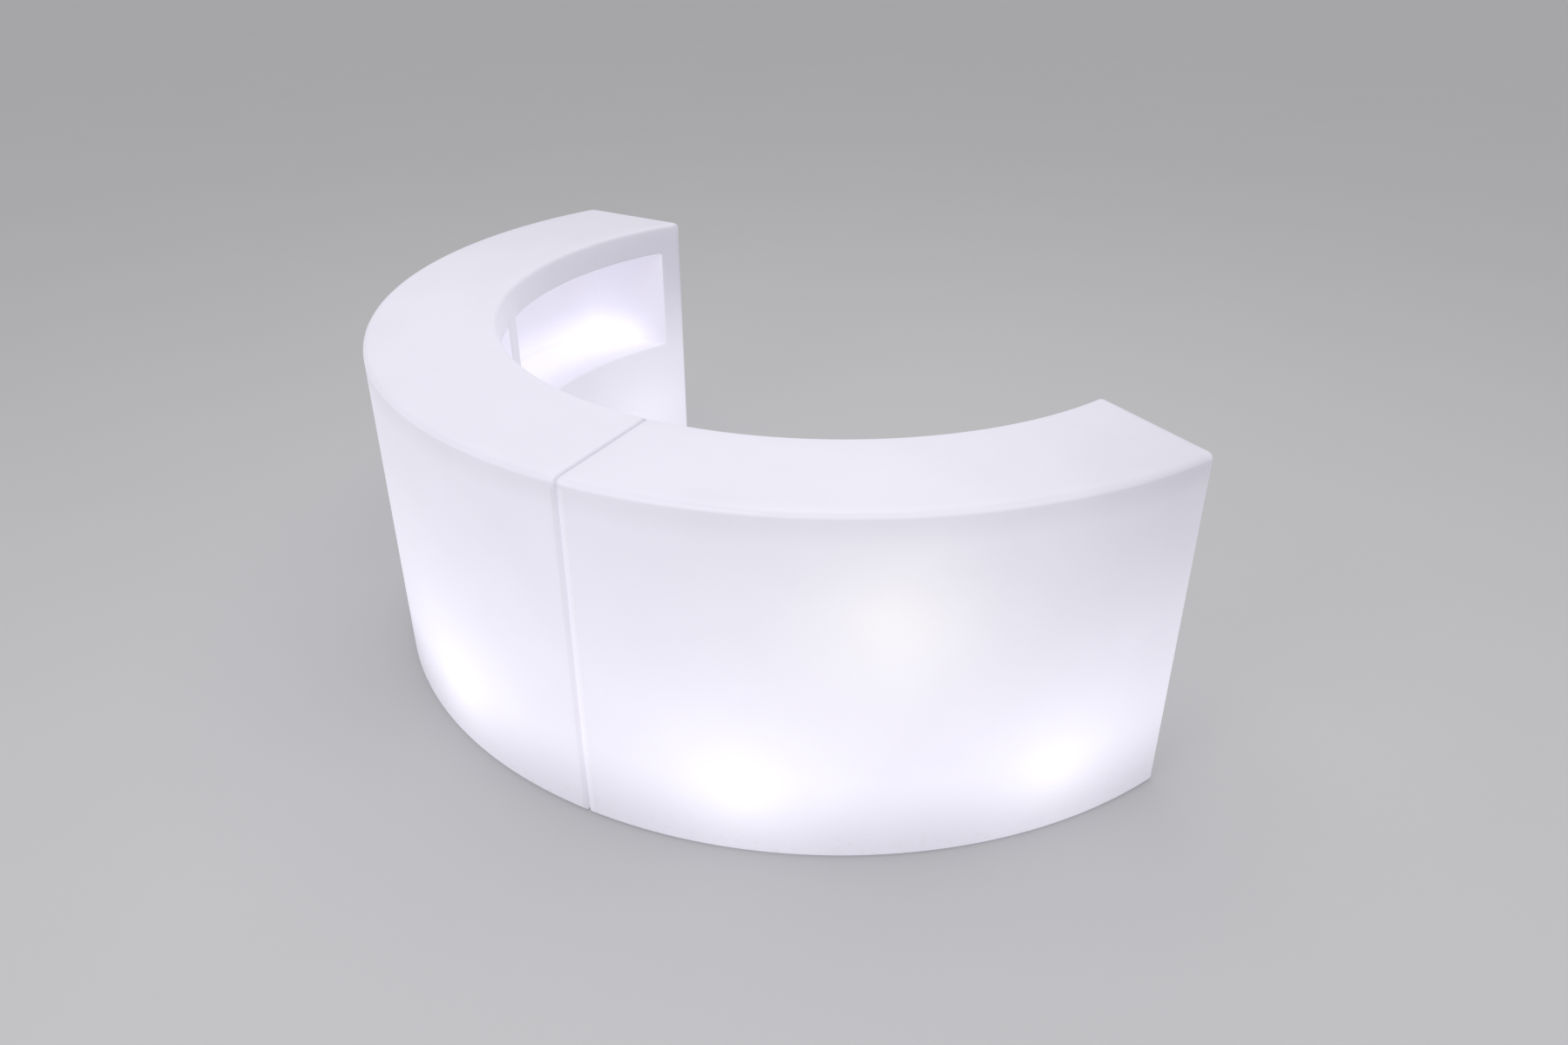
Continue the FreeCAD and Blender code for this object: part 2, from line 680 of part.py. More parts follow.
def plate_seal(name):
    """Flat frame between the plate and the recess's ledge."""
    panel = slab(name + "_panel", "dim.plate_width", "dim.plate_height", "dim.plate_thickness",
                 "dim.recess_depth")
    window = slab(name + "_window", "dim.plate_width - 2 * dim.plate_ledge",
                  "dim.plate_height - 2 * dim.plate_ledge", "dim.plate_thickness", "dim.recess_depth")
    holes = plate_screw_holes(name + "_hole", "dim.plate_thickness", "dim.recess_depth")
    return cut(name, panel, [window] + holes)


def plate_screw(name):
    """Pan-head screw through plate, seal and ledge."""
    head = rod(name + "_head", "dim.plate_screw_head_radius", "-dim.screw_head_height", "0")
    shank = rod(name + "_shank", "dim.plate_screw_radius", "0",
                "dim.recess_depth + dim.shell_wall + dim.plate_screw_reach")
    return fuse(name, [head, shank])


def hinge_rod(name, radius, length, x):
    """Cylinder on the flap's hinge axis."""
    return cross_rod(name, radius, length, x, "-dim.hinge_out", "dim.hinge_level")


def inlet_housing(name):
    """Inlet with a flange, an open cavity and two hinge lugs above it."""
    flange = slab(name + "_flange", "dim.flange_width", "dim.flange_height", "-dim.flange_thickness", "0",
                  INLET_X, INLET_Z)
    block = slab(name + "_block", "dim.inlet_width", "dim.inlet_height", "0", "dim.inlet_depth", INLET_X,
                 INLET_Z)
    cavity = slab(name + "_cavity", "dim.inlet_width - 2 * dim.inlet_wall",
                  "dim.inlet_height - 2 * dim.inlet_wall",
                  "-dim.flange_thickness - dim.cut_overrun", "dim.inlet_cavity_depth", INLET_X, INLET_Z)
    lugs = []
    lug_centre = "(dim.knuckle_length / 2 + dim.flap_gap + dim.lug_length / 2)"
    for label, sign in (("near", "-"), ("far", "+")):
        middle = "%s %s %s" % (INLET_X, sign, lug_centre)
        lugs.append(hinge_rod("%s_%s_eye" % (name, label), "dim.knuckle_radius", "dim.lug_length", middle))
        lugs.append(slab("%s_%s_web" % (name, label), "dim.lug_length", "2 * dim.hinge_rise",
                         "-dim.hinge_out", "0",
                         middle, "dim.hinge_level - dim.hinge_rise"))
    pin_hole = hinge_rod(name + "_pin_hole", "dim.hinge_pin_radius + dim.fit_clearance", "dim.flange_width",
                         INLET_X)
    return cut(name, fuse(name + "_blank", [flange, block] + lugs), [cavity, pin_hole])


def inlet_pins(name):
    """Three contact pins on the floor of the inlet's cavity."""
    pins = []
    start = "dim.inlet_cavity_depth - dim.inlet_pin_length"
    for index, (across, up) in enumerate(((-1, 0), (0, 1), (1, 0)), start=1):
        pins.append(rod("%s_%d" % (name, index), "dim.inlet_pin_radius", start, "dim.inlet_cavity_depth",
                        "%s + %d * dim.inlet_pin_pitch" % (INLET_X, across),
                        "%s + (%d - 1 / 2) * dim.inlet_pin_pitch" % (INLET_Z, up)))
    return group(name, pins)


def inlet_flap(name):
    """Flap over the inlet, with a knuckle between the lugs."""
    near = "-dim.hinge_out - dim.flap_thickness / 2"
    far = "-dim.hinge_out + dim.flap_thickness / 2"
    top = "dim.hinge_level - dim.flap_top_drop"
    bottom = "%s - dim.flange_height / 2" % INLET_Z
    door = slab(name + "_door", "dim.flange_width", "(%s) - (%s)" % (top, bottom), near, far, INLET_X,
                "((%s) + (%s)) / 2" % (top, bottom))
    neck = slab(name + "_neck", "dim.knuckle_length", "dim.flap_top_drop + dim.flap_gap", near, far,
                INLET_X, "dim.hinge_level - (dim.flap_top_drop + dim.flap_gap) / 2")
    knuckle = hinge_rod(name + "_knuckle", "dim.knuckle_radius", "dim.knuckle_length", INLET_X)
    bore = hinge_rod(name + "_bore", "dim.hinge_pin_radius + dim.fit_clearance", "dim.knuckle_length",
                     INLET_X)
    return cut(name, fuse(name + "_blank", [door, neck, knuckle]), [bore])


def flap_pin(name):
    """Hinge pin through the lugs and the flap's knuckle."""
    length = "dim.knuckle_length + 2 * (dim.flap_gap + dim.lug_length)"
    return group(name, [hinge_rod(name + "_turned", "dim.hinge_pin_radius", length, INLET_X)])


def switch_frame(name):
    """Housing of the rocker switch, with bores for the rocker's axle."""
    flange = slab(name + "_flange", "dim.switch_width + 2 * dim.switch_wall",
                  "dim.switch_height + 2 * dim.switch_wall", "-dim.flange_thickness", "0", SWITCH_X)
    block = slab(name + "_block", "dim.switch_width", "dim.switch_height", "0", "dim.switch_depth", SWITCH_X)
    cavity = slab(name + "_cavity", "dim.switch_width - 2 * dim.switch_wall",
                  "dim.switch_height - 2 * dim.switch_wall", "-dim.flange_thickness - dim.cut_overrun",
                  "dim.switch_cavity_depth", SWITCH_X)
    bore = cross_rod(name + "_bore", "dim.rocker_axle_radius + dim.fit_clearance",
                     "dim.switch_width - dim.switch_wall + 2 * dim.slip_clearance", SWITCH_X,
                     "dim.rocker_pivot_depth")
    return cut(name, fuse(name + "_blank", [flange, block]), [cavity, bore])


def switch_rocker(name):
    """Rocker, tilted to its on side about its axle."""
    key = slab(name + "_key", "dim.switch_width - 2 * dim.switch_wall - 2 * dim.slip_clearance",
               "dim.rocker_height", "-dim.rocker_front", "dim.rocker_back")
    axle = cross_rod(name + "_axle", "dim.rocker_axle_radius", "dim.switch_width - dim.switch_wall")
    tilted = fuse(name + "_tilted", [key, axle])
    tilt = FreeCAD.Rotation(AXIS_X, size("rocker_tilt"))
    pivot = FreeCAD.Vector(size("switch_offset"), size("rocker_pivot_depth"), 0)
    tilted.Placement = FreeCAD.Placement(pivot, tilt)
    return group(name, [tilted])


# Build every sub-part and set it in its place

parts = {}


def add(item, place, label):
    """Register a finished sub-part under its label, at its place in the module."""
    item.Label = label
    item.Placement = place * item.Placement
    parts[label] = item


shells = [(module, shell(module)) for module in MODULES]
doc.recompute()
turned = FreeCAD.Placement(FreeCAD.Vector(), FreeCAD.Rotation(AXIS_Z, size("seam_angle")))
outline = FreeCAD.BoundBox()
for module, item in shells:
    outline.add(item.Shape.transformed(turned.toMatrix()).optimalBoundingBox(False))
ring = FreeCAD.Placement(FreeCAD.Vector(-outline.Center.x, -outline.Center.y, 0), turned.Rotation)

PLATE_PIECES = (
    ("power_plate", power_plate),
    ("plate_seal", plate_seal),
    ("inlet_housing", inlet_housing),
    ("inlet_pins", inlet_pins),
    ("inlet_flap", inlet_flap),
    ("flap_pin", flap_pin),
    ("switch_frame", switch_frame),
    ("switch_rocker", switch_rocker),
    ("inlet_lead", inlet_lead),
)
LAMP_PIECES = (
    ("cap", cap),
    ("cap_gasket", cap_gasket),
    ("lampholder", lampholder),
    ("bulb_base", bulb_base),
    ("bulb_globe", bulb_globe),
)
BOX_PIECES = (("junction_box", junction_box), ("box_lid", box_lid))

for module, item in shells:
    side = module.name
    add(item, ring, side + "_shell")
    cap_screw_places, foot_places = boss_spots(module)
    add(group(side + "_cap_screws", copies(side + "_cap_screw", cap_screw_places, cap_screw)), ring,
        side + "_cap_screws")
    add(group(side + "_feet", copies(side + "_foot", foot_places, foot)), ring, side + "_feet")
    add(group(side + "_foot_screws", copies(side + "_foot_screw", foot_places, foot_screw)), ring,
        side + "_foot_screws")
    add(lamp_leads(module), ring, side + "_lamp_leads")
    for number, angle in enumerate(module.lamps, start=1):
        spot = ring * polar(size("lamp_radius"), angle, 0.0, angle)
        for piece, maker in LAMP_PIECES:
            label = "%s_%s_%d" % (side, piece, number)
            add(maker(label), spot, label)
    box_spot = ring * polar(size("lamp_radius"), module.plate, 0.0, module.plate - 90)
    for piece, maker in BOX_PIECES:
        add(maker("%s_%s" % (side, piece)), box_spot, "%s_%s" % (side, piece))
    plate_spot = ring * at_plate(module)
    for piece, maker in PLATE_PIECES:
        add(maker("%s_%s" % (side, piece)), plate_spot, "%s_%s" % (side, piece))
    screws = group(side + "_plate_screws", copies(side + "_plate_screw", plate_screw_spots(), plate_screw))
    add(screws, plate_spot, side + "_plate_screws")

doc.recompute()

# Check the document, then write one file per sub-part
failed = [item.Name for item in doc.Objects if "Invalid" in item.State or "Error" in item.State]
for label, item in parts.items():
    if item.Shape.isNull() or not item.Shape.isValid() or not item.Shape.Solids:
        failed.append(label)
if failed:
    raise RuntimeError("these did not build: " + ", ".join(failed))

os.makedirs("parts", exist_ok=True)
for label, item in sorted(parts.items()):
    item.Shape.exportStep("parts/%s.step" % label)
    box_size = item.Shape.BoundBox
    print("%-24s solids %2d volume %12.1f z %.1f to %.1f" % (
        label, len(item.Shape.Solids), item.Shape.Volume, box_size.ZMin, box_size.ZMax))
print("ring axis at x %.4f y %.4f" % (ring.Base.x, ring.Base.y))
for module, item in shells:
    spot = ring * at_plate(module)
    hinge = spot.multVec(FreeCAD.Vector(-size("inlet_offset"), -size("hinge_out"), size("hinge_level")))
    rocker = spot.multVec(FreeCAD.Vector(size("switch_offset"), size("rocker_pivot_depth"), 0))
    along = spot.Rotation.multVec(AXIS_X)
    print("%s hinge at %s, rocker at %s, both along %s" % (module.name, hinge, rocker, along))
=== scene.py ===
import json
import math

import bmesh
import bpy
from mathutils import Matrix, Vector


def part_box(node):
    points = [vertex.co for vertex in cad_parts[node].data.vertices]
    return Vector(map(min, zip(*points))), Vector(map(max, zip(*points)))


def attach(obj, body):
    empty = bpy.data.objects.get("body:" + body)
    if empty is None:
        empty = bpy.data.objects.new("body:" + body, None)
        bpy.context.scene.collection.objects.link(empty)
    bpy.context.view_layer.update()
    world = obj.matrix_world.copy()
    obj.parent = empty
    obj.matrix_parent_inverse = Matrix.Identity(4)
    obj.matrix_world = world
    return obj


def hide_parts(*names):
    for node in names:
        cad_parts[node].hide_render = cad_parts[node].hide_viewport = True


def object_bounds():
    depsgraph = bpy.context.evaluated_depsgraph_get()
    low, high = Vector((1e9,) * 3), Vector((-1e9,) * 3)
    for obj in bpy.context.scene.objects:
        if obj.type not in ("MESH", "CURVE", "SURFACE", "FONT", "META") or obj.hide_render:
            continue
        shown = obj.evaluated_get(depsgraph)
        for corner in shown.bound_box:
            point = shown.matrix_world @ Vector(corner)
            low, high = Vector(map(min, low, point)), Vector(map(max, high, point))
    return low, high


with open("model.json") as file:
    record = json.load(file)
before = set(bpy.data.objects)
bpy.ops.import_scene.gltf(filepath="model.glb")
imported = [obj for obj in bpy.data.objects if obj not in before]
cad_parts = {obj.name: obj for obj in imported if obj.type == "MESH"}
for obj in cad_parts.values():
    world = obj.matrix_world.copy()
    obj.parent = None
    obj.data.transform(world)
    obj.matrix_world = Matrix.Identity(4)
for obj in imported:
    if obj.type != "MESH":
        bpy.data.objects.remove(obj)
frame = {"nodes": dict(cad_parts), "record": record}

CAD_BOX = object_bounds()

# Sizes of the ring, in metres and degrees, as in the part
COUNTER_HEIGHT = 1.100
OUTER_RADIUS = 1.560
COUNTER_DEPTH = 0.422
INNER_RADIUS = OUTER_RADIUS - COUNTER_DEPTH
FOOT_HEIGHT = 0.006
SEAM_GAP = 0.003
SEAM_ANGLE = 294.0
RING_AXIS = Vector((0.0, CAD_BOX[0].y + OUTER_RADIUS, 0.0))

# Niches on the service side
NICHE_DEPTH = 0.320
NICHE_BACK_RADIUS = INNER_RADIUS + NICHE_DEPTH
LIP_HEIGHT = 0.115
NICHE_TOP = COUNTER_HEIGHT - LIP_HEIGHT
SHELF_HEIGHT = 0.585
NICHE_SPAN = 47.5
NICHE_BORDER = 0.085
NICHE_RIB = 0.095

# Pocket behind the power plate
PLATE_FROM_SEAM = 24.0
PLATE_POCKET = 0.090
PLATE_LEVEL = 0.230
PLATE_WIDTH = 0.1306
PLATE_HEIGHT = 0.0906

# Roundings of the moulded shell: the full one, and the share of it that some edges get
EDGE_ROUND = 0.018
MOUTH_ROUND_SHARE = 0.45
FOOT_ROUND_SHARE = 0.35
SEAM_ROUND_SHARE = 0.5
POCKET_ROUND_SHARE = 0.08
ROUND_STEPS = 6
SHARP_ANGLE = 40.0

# Spacing of the shell's mesh, and how near values count as the same
STEP_ANGLE = 1.6
STEP_LEVEL = 0.09
STEP_RADIUS = 0.07
SAME_VALUE = 1e-6
SAME_DIGITS = 5
NEAR_ANGLE = 0.1
NEAR_LENGTH = 0.001


class Module:
    """One counter module: the way it runs from the seam, its span and how far its end face is turned."""

    def __init__(self, name, way, span, turn, lamps):
        self.name = name
        self.way = way
        self.span = span
        self.turn = turn
        self.lamps = lamps
        self.end_distance = OUTER_RADIUS * math.sin(math.radians(turn))

    def end_angle(self, radius, inset=0.0):
        """Angle from the seam at which the end face, moved in by inset, meets a circle."""
        reach = math.degrees(math.acos((self.end_distance - inset) / radius))
        return self.span + 90 - self.turn - reach

    def niches(self):
        """Start and end angle of each niche at the inner wall, the one by the free end first."""
        rib = math.degrees(NICHE_RIB / INNER_RADIUS)
        far = self.end_angle(INNER_RADIUS, NICHE_BORDER)
        found = []
        while far - NICHE_SPAN > rib:
            found.append((far - NICHE_SPAN, far))
            far = far - NICHE_SPAN - rib
        return found

    def plate(self):
        """Start and end angle of the power plate's pocket."""
        half = math.degrees(PLATE_WIDTH / 2 / INNER_RADIUS)
        return PLATE_FROM_SEAM - half, PLATE_FROM_SEAM + half


MODULES = (
    Module("left", way=-1, span=112.4, turn=20.0, lamps=3),
    Module("right", way=1, span=65.9, turn=8.2, lamps=2),
)


# Node helpers

def feed(tree, socket, value):
    """Link an input to another node's output, or set it to a plain value."""
    if isinstance(value, bpy.types.NodeSocket):
        tree.links.new(value, socket)
    else:
        socket.default_value = value


def wire(tree, kind, settings=None, **sockets):
    """Add a node, set its properties and feed its inputs, by name, or by number as i0, i1."""
    node = tree.nodes.new(kind)
    for key, value in (settings or {}).items():
        setattr(node, key, value)
    for key, value in sockets.items():
        by_number = key[0] == "i" and key[1:].isdigit()
        feed(tree, node.inputs[int(key[1:]) if by_number else key], value)
    return node


def math_node(tree, operation, first, second=0.0, clamp=False):
    """Result of a Math node."""
    settings = {"operation": operation, "use_clamp": clamp}
    return wire(tree, "ShaderNodeMath", settings, i0=first, i1=second).outputs[0]


def vector_node(tree, operation, first, second):
    """Outputs of a Vector Math node."""
    return wire(tree, "ShaderNodeVectorMath", {"operation": operation}, i0=first, i1=second).outputs


def ramp(tree, value, low, high, to_low=0.0, to_high=1.0):
    """Smooth step of a value from one range to another."""
    node = wire(tree, "ShaderNodeMapRange", {"interpolation_type": "SMOOTHSTEP"}, **{
        "Value": value, "From Min": low, "From Max": high, "To Min": to_low, "To Max": to_high})
    return node.outputs["Result"]


def bar(tree, value, start, full, fade, end):
    """Mask that rises from start to full and falls from fade to end."""
    rise = ramp(tree, value, start, full)
    return math_node(tree, "MULTIPLY", rise, ramp(tree, value, fade, end, 1.0, 0.0))


def between(tree, share, first, second):
    """Value between two values."""
    change = math_node(tree, "SUBTRACT", second, first)
    return math_node(tree, "ADD", first, math_node(tree, "MULTIPLY", share, change))


def rgb(red, green, blue):
    """Opaque colour."""
    return (red, green, blue, 1.0)


def mixed(tree, share, first, second):
    """Colour between two colours."""
    node = tree.nodes.new("ShaderNodeMix")
    node.data_type = "RGBA"
    for index, value in ((0, share), (6, first), (7, second)):
        feed(tree, node.inputs[index], value)
    return node.outputs[2]


def noise(tree, place, scale, detail=2.0, roughness=0.5):
    """Noise value at a place."""
    return wire(tree, "ShaderNodeTexNoise", None, Vector=place, Scale=scale, Detail=detail,
                Roughness=roughness).outputs["Fac"]


# Bend: a geometry tree that wraps a straight run round the ring

def bend_tree():
    """Tree that takes x as the angle from the seam, y as the radius, and wraps them round the ring's axis."""
    tree = bpy.data.node_groups.new("bend_round_ring", "GeometryNodeTree")
    face = tree.interface
    face.new_socket("Geometry", in_out="INPUT", socket_type="NodeSocketGeometry")
    for name in ("Way", "Seam Angle", "Span", "End Turn", "End Distance", "Skew Start", "Skew End",
                 "Inner Radius"):
        face.new_socket(name, in_out="INPUT", socket_type="NodeSocketFloat")
    face.new_socket("Ring Axis", in_out="INPUT", socket_type="NodeSocketVector")
    face.new_socket("Material", in_out="INPUT", socket_type="NodeSocketMaterial")
    face.new_socket("Geometry", in_out="OUTPUT", socket_type="NodeSocketGeometry")
    inlet = tree.nodes.new("NodeGroupInput").outputs
    position = tree.nodes.new("GeometryNodeInputPosition").outputs[0]
    angle, radius, level = wire(tree, "ShaderNodeSeparateXYZ", Vector=position).outputs

    def end_angle(at):
        """Angle of the turned end face at a radius."""
        share = math_node(tree, "DIVIDE", inlet["End Distance"], at)
        reach = math_node(tree, "DEGREES", math_node(tree, "ARCCOSINE", share))
        square = math_node(tree, "ADD", inlet["Span"], 90.0)
        return math_node(tree, "SUBTRACT", math_node(tree, "SUBTRACT", square, inlet["End Turn"]), reach)

    lean = math_node(tree, "SUBTRACT", end_angle(radius), end_angle(inlet["Inner Radius"]))
    run = math_node(tree, "SUBTRACT", inlet["Skew End"], inlet["Skew Start"])
    past_start = math_node(tree, "SUBTRACT", angle, inlet["Skew Start"])
    share = math_node(tree, "DIVIDE", past_start, run, clamp=True)
    leaned = math_node(tree, "ADD", angle, math_node(tree, "MULTIPLY", share, lean))
    from_seam = math_node(tree, "MULTIPLY", inlet["Way"], leaned)
    theta = math_node(tree, "RADIANS", math_node(tree, "ADD", inlet["Seam Angle"], from_seam))
    place = wire(tree, "ShaderNodeCombineXYZ",
                 X=math_node(tree, "MULTIPLY", radius, math_node(tree, "COSINE", theta)),
                 Y=math_node(tree, "MULTIPLY", radius, math_node(tree, "SINE", theta)), Z=level).outputs[0]
    moved = vector_node(tree, "ADD", place, inlet["Ring Axis"])[0]
    bent = wire(tree, "GeometryNodeSetPosition", Geometry=inlet["Geometry"], Position=moved).outputs[0]
    whole = wire(tree, "GeometryNodeRealizeInstances", Geometry=bent).outputs[0]
    painted = wire(tree, "GeometryNodeSetMaterial", Geometry=whole, Material=inlet["Material"]).outputs[0]
    wire(tree, "NodeGroupOutput", Geometry=painted)
    return tree


# Straight run of a module: a closed grid mesh over angle, radius and height, with its niches and pocket

def spaced(keys, step):
    """Sorted key values with even steps between them."""
    values = [keys[0]]
    for low, high in zip(keys, keys[1:]):
        count = max(1, math.ceil((high - low) / step - SAME_VALUE))
        values += [low + (high - low) * part / count for part in range(1, count + 1)]
    return values


def within(values, low, high):
    """Those of the values that lie from low to high."""
    return [value for value in values if low - SAME_VALUE <= value <= high + SAME_VALUE]


def straight_run(module):
    """Grid mesh of a module before it is bent; edges to round carry a bevel weight."""
    niches = module.niches()
    pocket = module.plate()
    gap = math.degrees(SEAM_GAP / 2 / INNER_RADIUS)
    end = module.end_angle(INNER_RADIUS)
    plate_foot = PLATE_LEVEL - PLATE_HEIGHT / 2
    plate_top = PLATE_LEVEL + PLATE_HEIGHT / 2
    niche_edges = [edge for niche in niches for edge in niche]
    angles = spaced(sorted([gap, end] + niche_edges + list(pocket)), STEP_ANGLE)
    levels = spaced([FOOT_HEIGHT, plate_foot, plate_top, SHELF_HEIGHT, NICHE_TOP, COUNTER_HEIGHT], STEP_LEVEL)
    radii = spaced([INNER_RADIUS, NICHE_BACK_RADIUS, OUTER_RADIUS], STEP_RADIUS)
    niche_radii = within(radii, INNER_RADIUS, NICHE_BACK_RADIUS)
    niche_levels = within(levels, SHELF_HEIGHT, NICHE_TOP)
    mesh = bmesh.new()
    niche_face = mesh.faces.layers.float.new("niche_face")
    verts = {}

    def vert(x, y, z):
        """The mesh's one corner at a place."""
        key = (round(x, SAME_DIGITS), round(y, SAME_DIGITS), round(z, SAME_DIGITS))
        if key not in verts:
            verts[key] = mesh.verts.new(key)
        return verts[key]

    def patch(across, up, corner, skip=lambda a, b: False, niche=0.0):
        """Quads over two lists of values, where corner gives the point of each pair."""
        for a0, a1 in zip(across, across[1:]):
            for b0, b1 in zip(up, up[1:]):
                if not skip((a0 + a1) / 2, (b0 + b1) / 2):
                    pairs = ((a0, b0), (a1, b0), (a1, b1), (a0, b1))
                    quad = mesh.faces.new([vert(*corner(a, b)) for a, b in pairs])
                    quad[niche_face] = niche

    def in_opening(angle, level):
        """Whether a place on the inner wall lies in a niche or in the pocket."""
        in_niche = any(a < angle < b for a, b in niches) and SHELF_HEIGHT < level < NICHE_TOP
        return in_niche or (pocket[0] < angle < pocket[1] and plate_foot < level < plate_top)

    patch(angles, levels, lambda a, z: (a, OUTER_RADIUS, z))
    patch(angles, levels, lambda a, z: (a, INNER_RADIUS, z), in_opening)
    for level in (FOOT_HEIGHT, COUNTER_HEIGHT):
        patch(angles, radii, lambda a, r: (a, r, level))
    for angle in (gap, end):
        patch(radii, levels, lambda r, z: (angle, r, z))
    for start, stop in niches:
        inside = within(angles, start, stop)
        patch(inside, niche_levels, lambda a, z: (a, NICHE_BACK_RADIUS, z), niche=1.0)
        for level in (SHELF_HEIGHT, NICHE_TOP):
            patch(inside, niche_radii, lambda a, r: (a, r, level), niche=1.0)
        for angle in (start, stop):
            patch(niche_radii, niche_levels, lambda r, z: (angle, r, z), niche=1.0)
    pocket_angles = within(angles, *pocket)
    pocket_levels = within(levels, plate_foot, plate_top)
    pocket_radii = [INNER_RADIUS, INNER_RADIUS + PLATE_POCKET]
    patch(pocket_angles, pocket_levels, lambda a, z: (a, pocket_radii[1], z))
    for level in (pocket_levels[0], pocket_levels[-1]):
        patch(pocket_angles, pocket_radii, lambda a, r: (a, r, level))
    for angle in pocket:
        patch(pocket_radii, pocket_levels, lambda r, z: (angle, r, z))

    bmesh.ops.recalc_face_normals(mesh, faces=mesh.faces)
    weight = mesh.edges.layers.float.new("bevel_weight_edge")
    for edge in mesh.edges:
        if edge.calc_face_angle(0.0) > math.radians(SHARP_ANGLE):
            edge[weight] = rounding_share(edge, niches, pocket)
    data = bpy.data.meshes.new(module.name + "_run")
    mesh.to_mesh(data)
    mesh.free()
    return data


def rounding_share(edge, niches, pocket):
    """Share of the full rounding that an edge gets, by where it lies."""
    angle, radius, level = (edge.verts[0].co + edge.verts[1].co) / 2
    by_plate = pocket[0] - NEAR_ANGLE < angle < pocket[1] + NEAR_ANGLE
    by_plate = by_plate and abs(level - PLATE_LEVEL) < PLATE_HEIGHT
    if by_plate and radius < INNER_RADIUS + PLATE_POCKET + NEAR_LENGTH:
        return POCKET_ROUND_SHARE
    if level < FOOT_HEIGHT + NEAR_LENGTH:
        return FOOT_ROUND_SHARE
    if angle < STEP_ANGLE / 4:
        return SEAM_ROUND_SHARE
    at_mouth = any(a - NEAR_ANGLE < angle < b + NEAR_ANGLE for a, b in niches)
    at_mouth = at_mouth and SHELF_HEIGHT - NEAR_LENGTH < level < NICHE_TOP + NEAR_LENGTH
    if at_mouth and radius < INNER_RADIUS + NEAR_LENGTH:
        return MOUTH_ROUND_SHARE
    return 1.0


def shell_piece(module, bend, material):
    """Bent and rounded shell of a module, as a plain mesh."""
    source = bpy.data.objects.new(module.name + "_source", straight_run(module))
    bpy.context.collection.objects.link(source)
    bender = source.modifiers.new("bend", "NODES")
    bender.node_group = bend
    end_niche = module.niches()[0]
    values = {
        "Way": float(module.way), "Seam Angle": SEAM_ANGLE, "Span": module.span, "End Turn": module.turn,
        "End Distance": module.end_distance, "Skew Start": end_niche[0], "Skew End": end_niche[1],
        "Inner Radius": INNER_RADIUS, "Ring Axis": RING_AXIS, "Material": material,
    }
    for item in bend.interface.items_tree:
        if item.in_out == "INPUT" and item.name in values:
            bender[item.identifier] = values[item.name]
    rounder = source.modifiers.new("round", "BEVEL")
    rounder.limit_method = "WEIGHT"
    rounder.width = EDGE_ROUND
    rounder.segments = ROUND_STEPS
    rounder.use_clamp_overlap = False
    rounder.harden_normals = True
    data = bpy.data.meshes.new_from_object(source.evaluated_get(bpy.context.evaluated_depsgraph_get()))
    bpy.data.objects.remove(source)
    if module.way > 0:
        data.flip_normals()
    data.polygons.foreach_set("use_smooth", [True] * len(data.polygons))
    piece = bpy.data.objects.new(module.name + "_glowing_shell", data)
    bpy.context.collection.objects.link(piece)
    return piece


# Shared shader groups: the values of their patterns, then the groups
GRAIN_DETAIL = 3.0
GRAIN_SHARPNESS = 0.6
MOTTLE_DETAIL = 3.0
MOTTLE_LOW = 0.2
MOTTLE_HIGH = 0.8
SCUFF_SCALE = 38.0
SCUFF_DETAIL = 5.0
SCUFF_SHARPNESS = 0.7
SCUFF_FROM = 0.48
SCUFF_TO = 0.7


def shader_group(name, inputs, outputs):
    """New shader node group with named sockets; returns its tree, its inputs and its output node."""
    tree = bpy.data.node_groups.new(name, "ShaderNodeTree")
    for label, kind in inputs:
        tree.interface.new_socket(label, in_out="INPUT", socket_type=kind)
    for label in outputs:
        tree.interface.new_socket(label, in_out="OUTPUT", socket_type="NodeSocketFloat")
    return tree, tree.nodes.new("NodeGroupInput").outputs, tree.nodes.new("NodeGroupOutput")


def lamp_glow_group():
    """Brightness that one spot gives at a place: full at the spot, and soft further out."""
    tree, given, out = shader_group("lamp_glow", (
        ("Place", "NodeSocketVector"),
        ("Lamp", "NodeSocketVector"),
        ("Reach", "NodeSocketFloat"),
    ), ("Glow",))
    distance = vector_node(tree, "DISTANCE", given["Place"], given["Lamp"])["Value"]
    share = math_node(tree, "DIVIDE", distance, given["Reach"])
    square = math_node(tree, "ADD", math_node(tree, "MULTIPLY", share, share), 1.0)
    glow = math_node(tree, "DIVIDE", 1.0, math_node(tree, "MULTIPLY", square, square))
    tree.links.new(glow, out.inputs["Glow"])
    return tree


def moulded_skin_group():
    """Fine pitted grain of a moulded surface, and broad mottling from uneven wall thickness."""
    tree, given, out = shader_group("moulded_skin", (
        ("Place", "NodeSocketVector"),
        ("Grain Scale", "NodeSocketFloat"),
        ("Mottle Scale", "NodeSocketFloat"),
    ), ("Grain", "Mottle"))
    fine = noise(tree, given["Place"], given["Grain Scale"], GRAIN_DETAIL, GRAIN_SHARPNESS)
    tree.links.new(fine, out.inputs["Grain"])
    broad = noise(tree, given["Place"], given["Mottle Scale"], MOTTLE_DETAIL)
    tree.links.new(broad, out.inputs["Mottle"])
    return tree


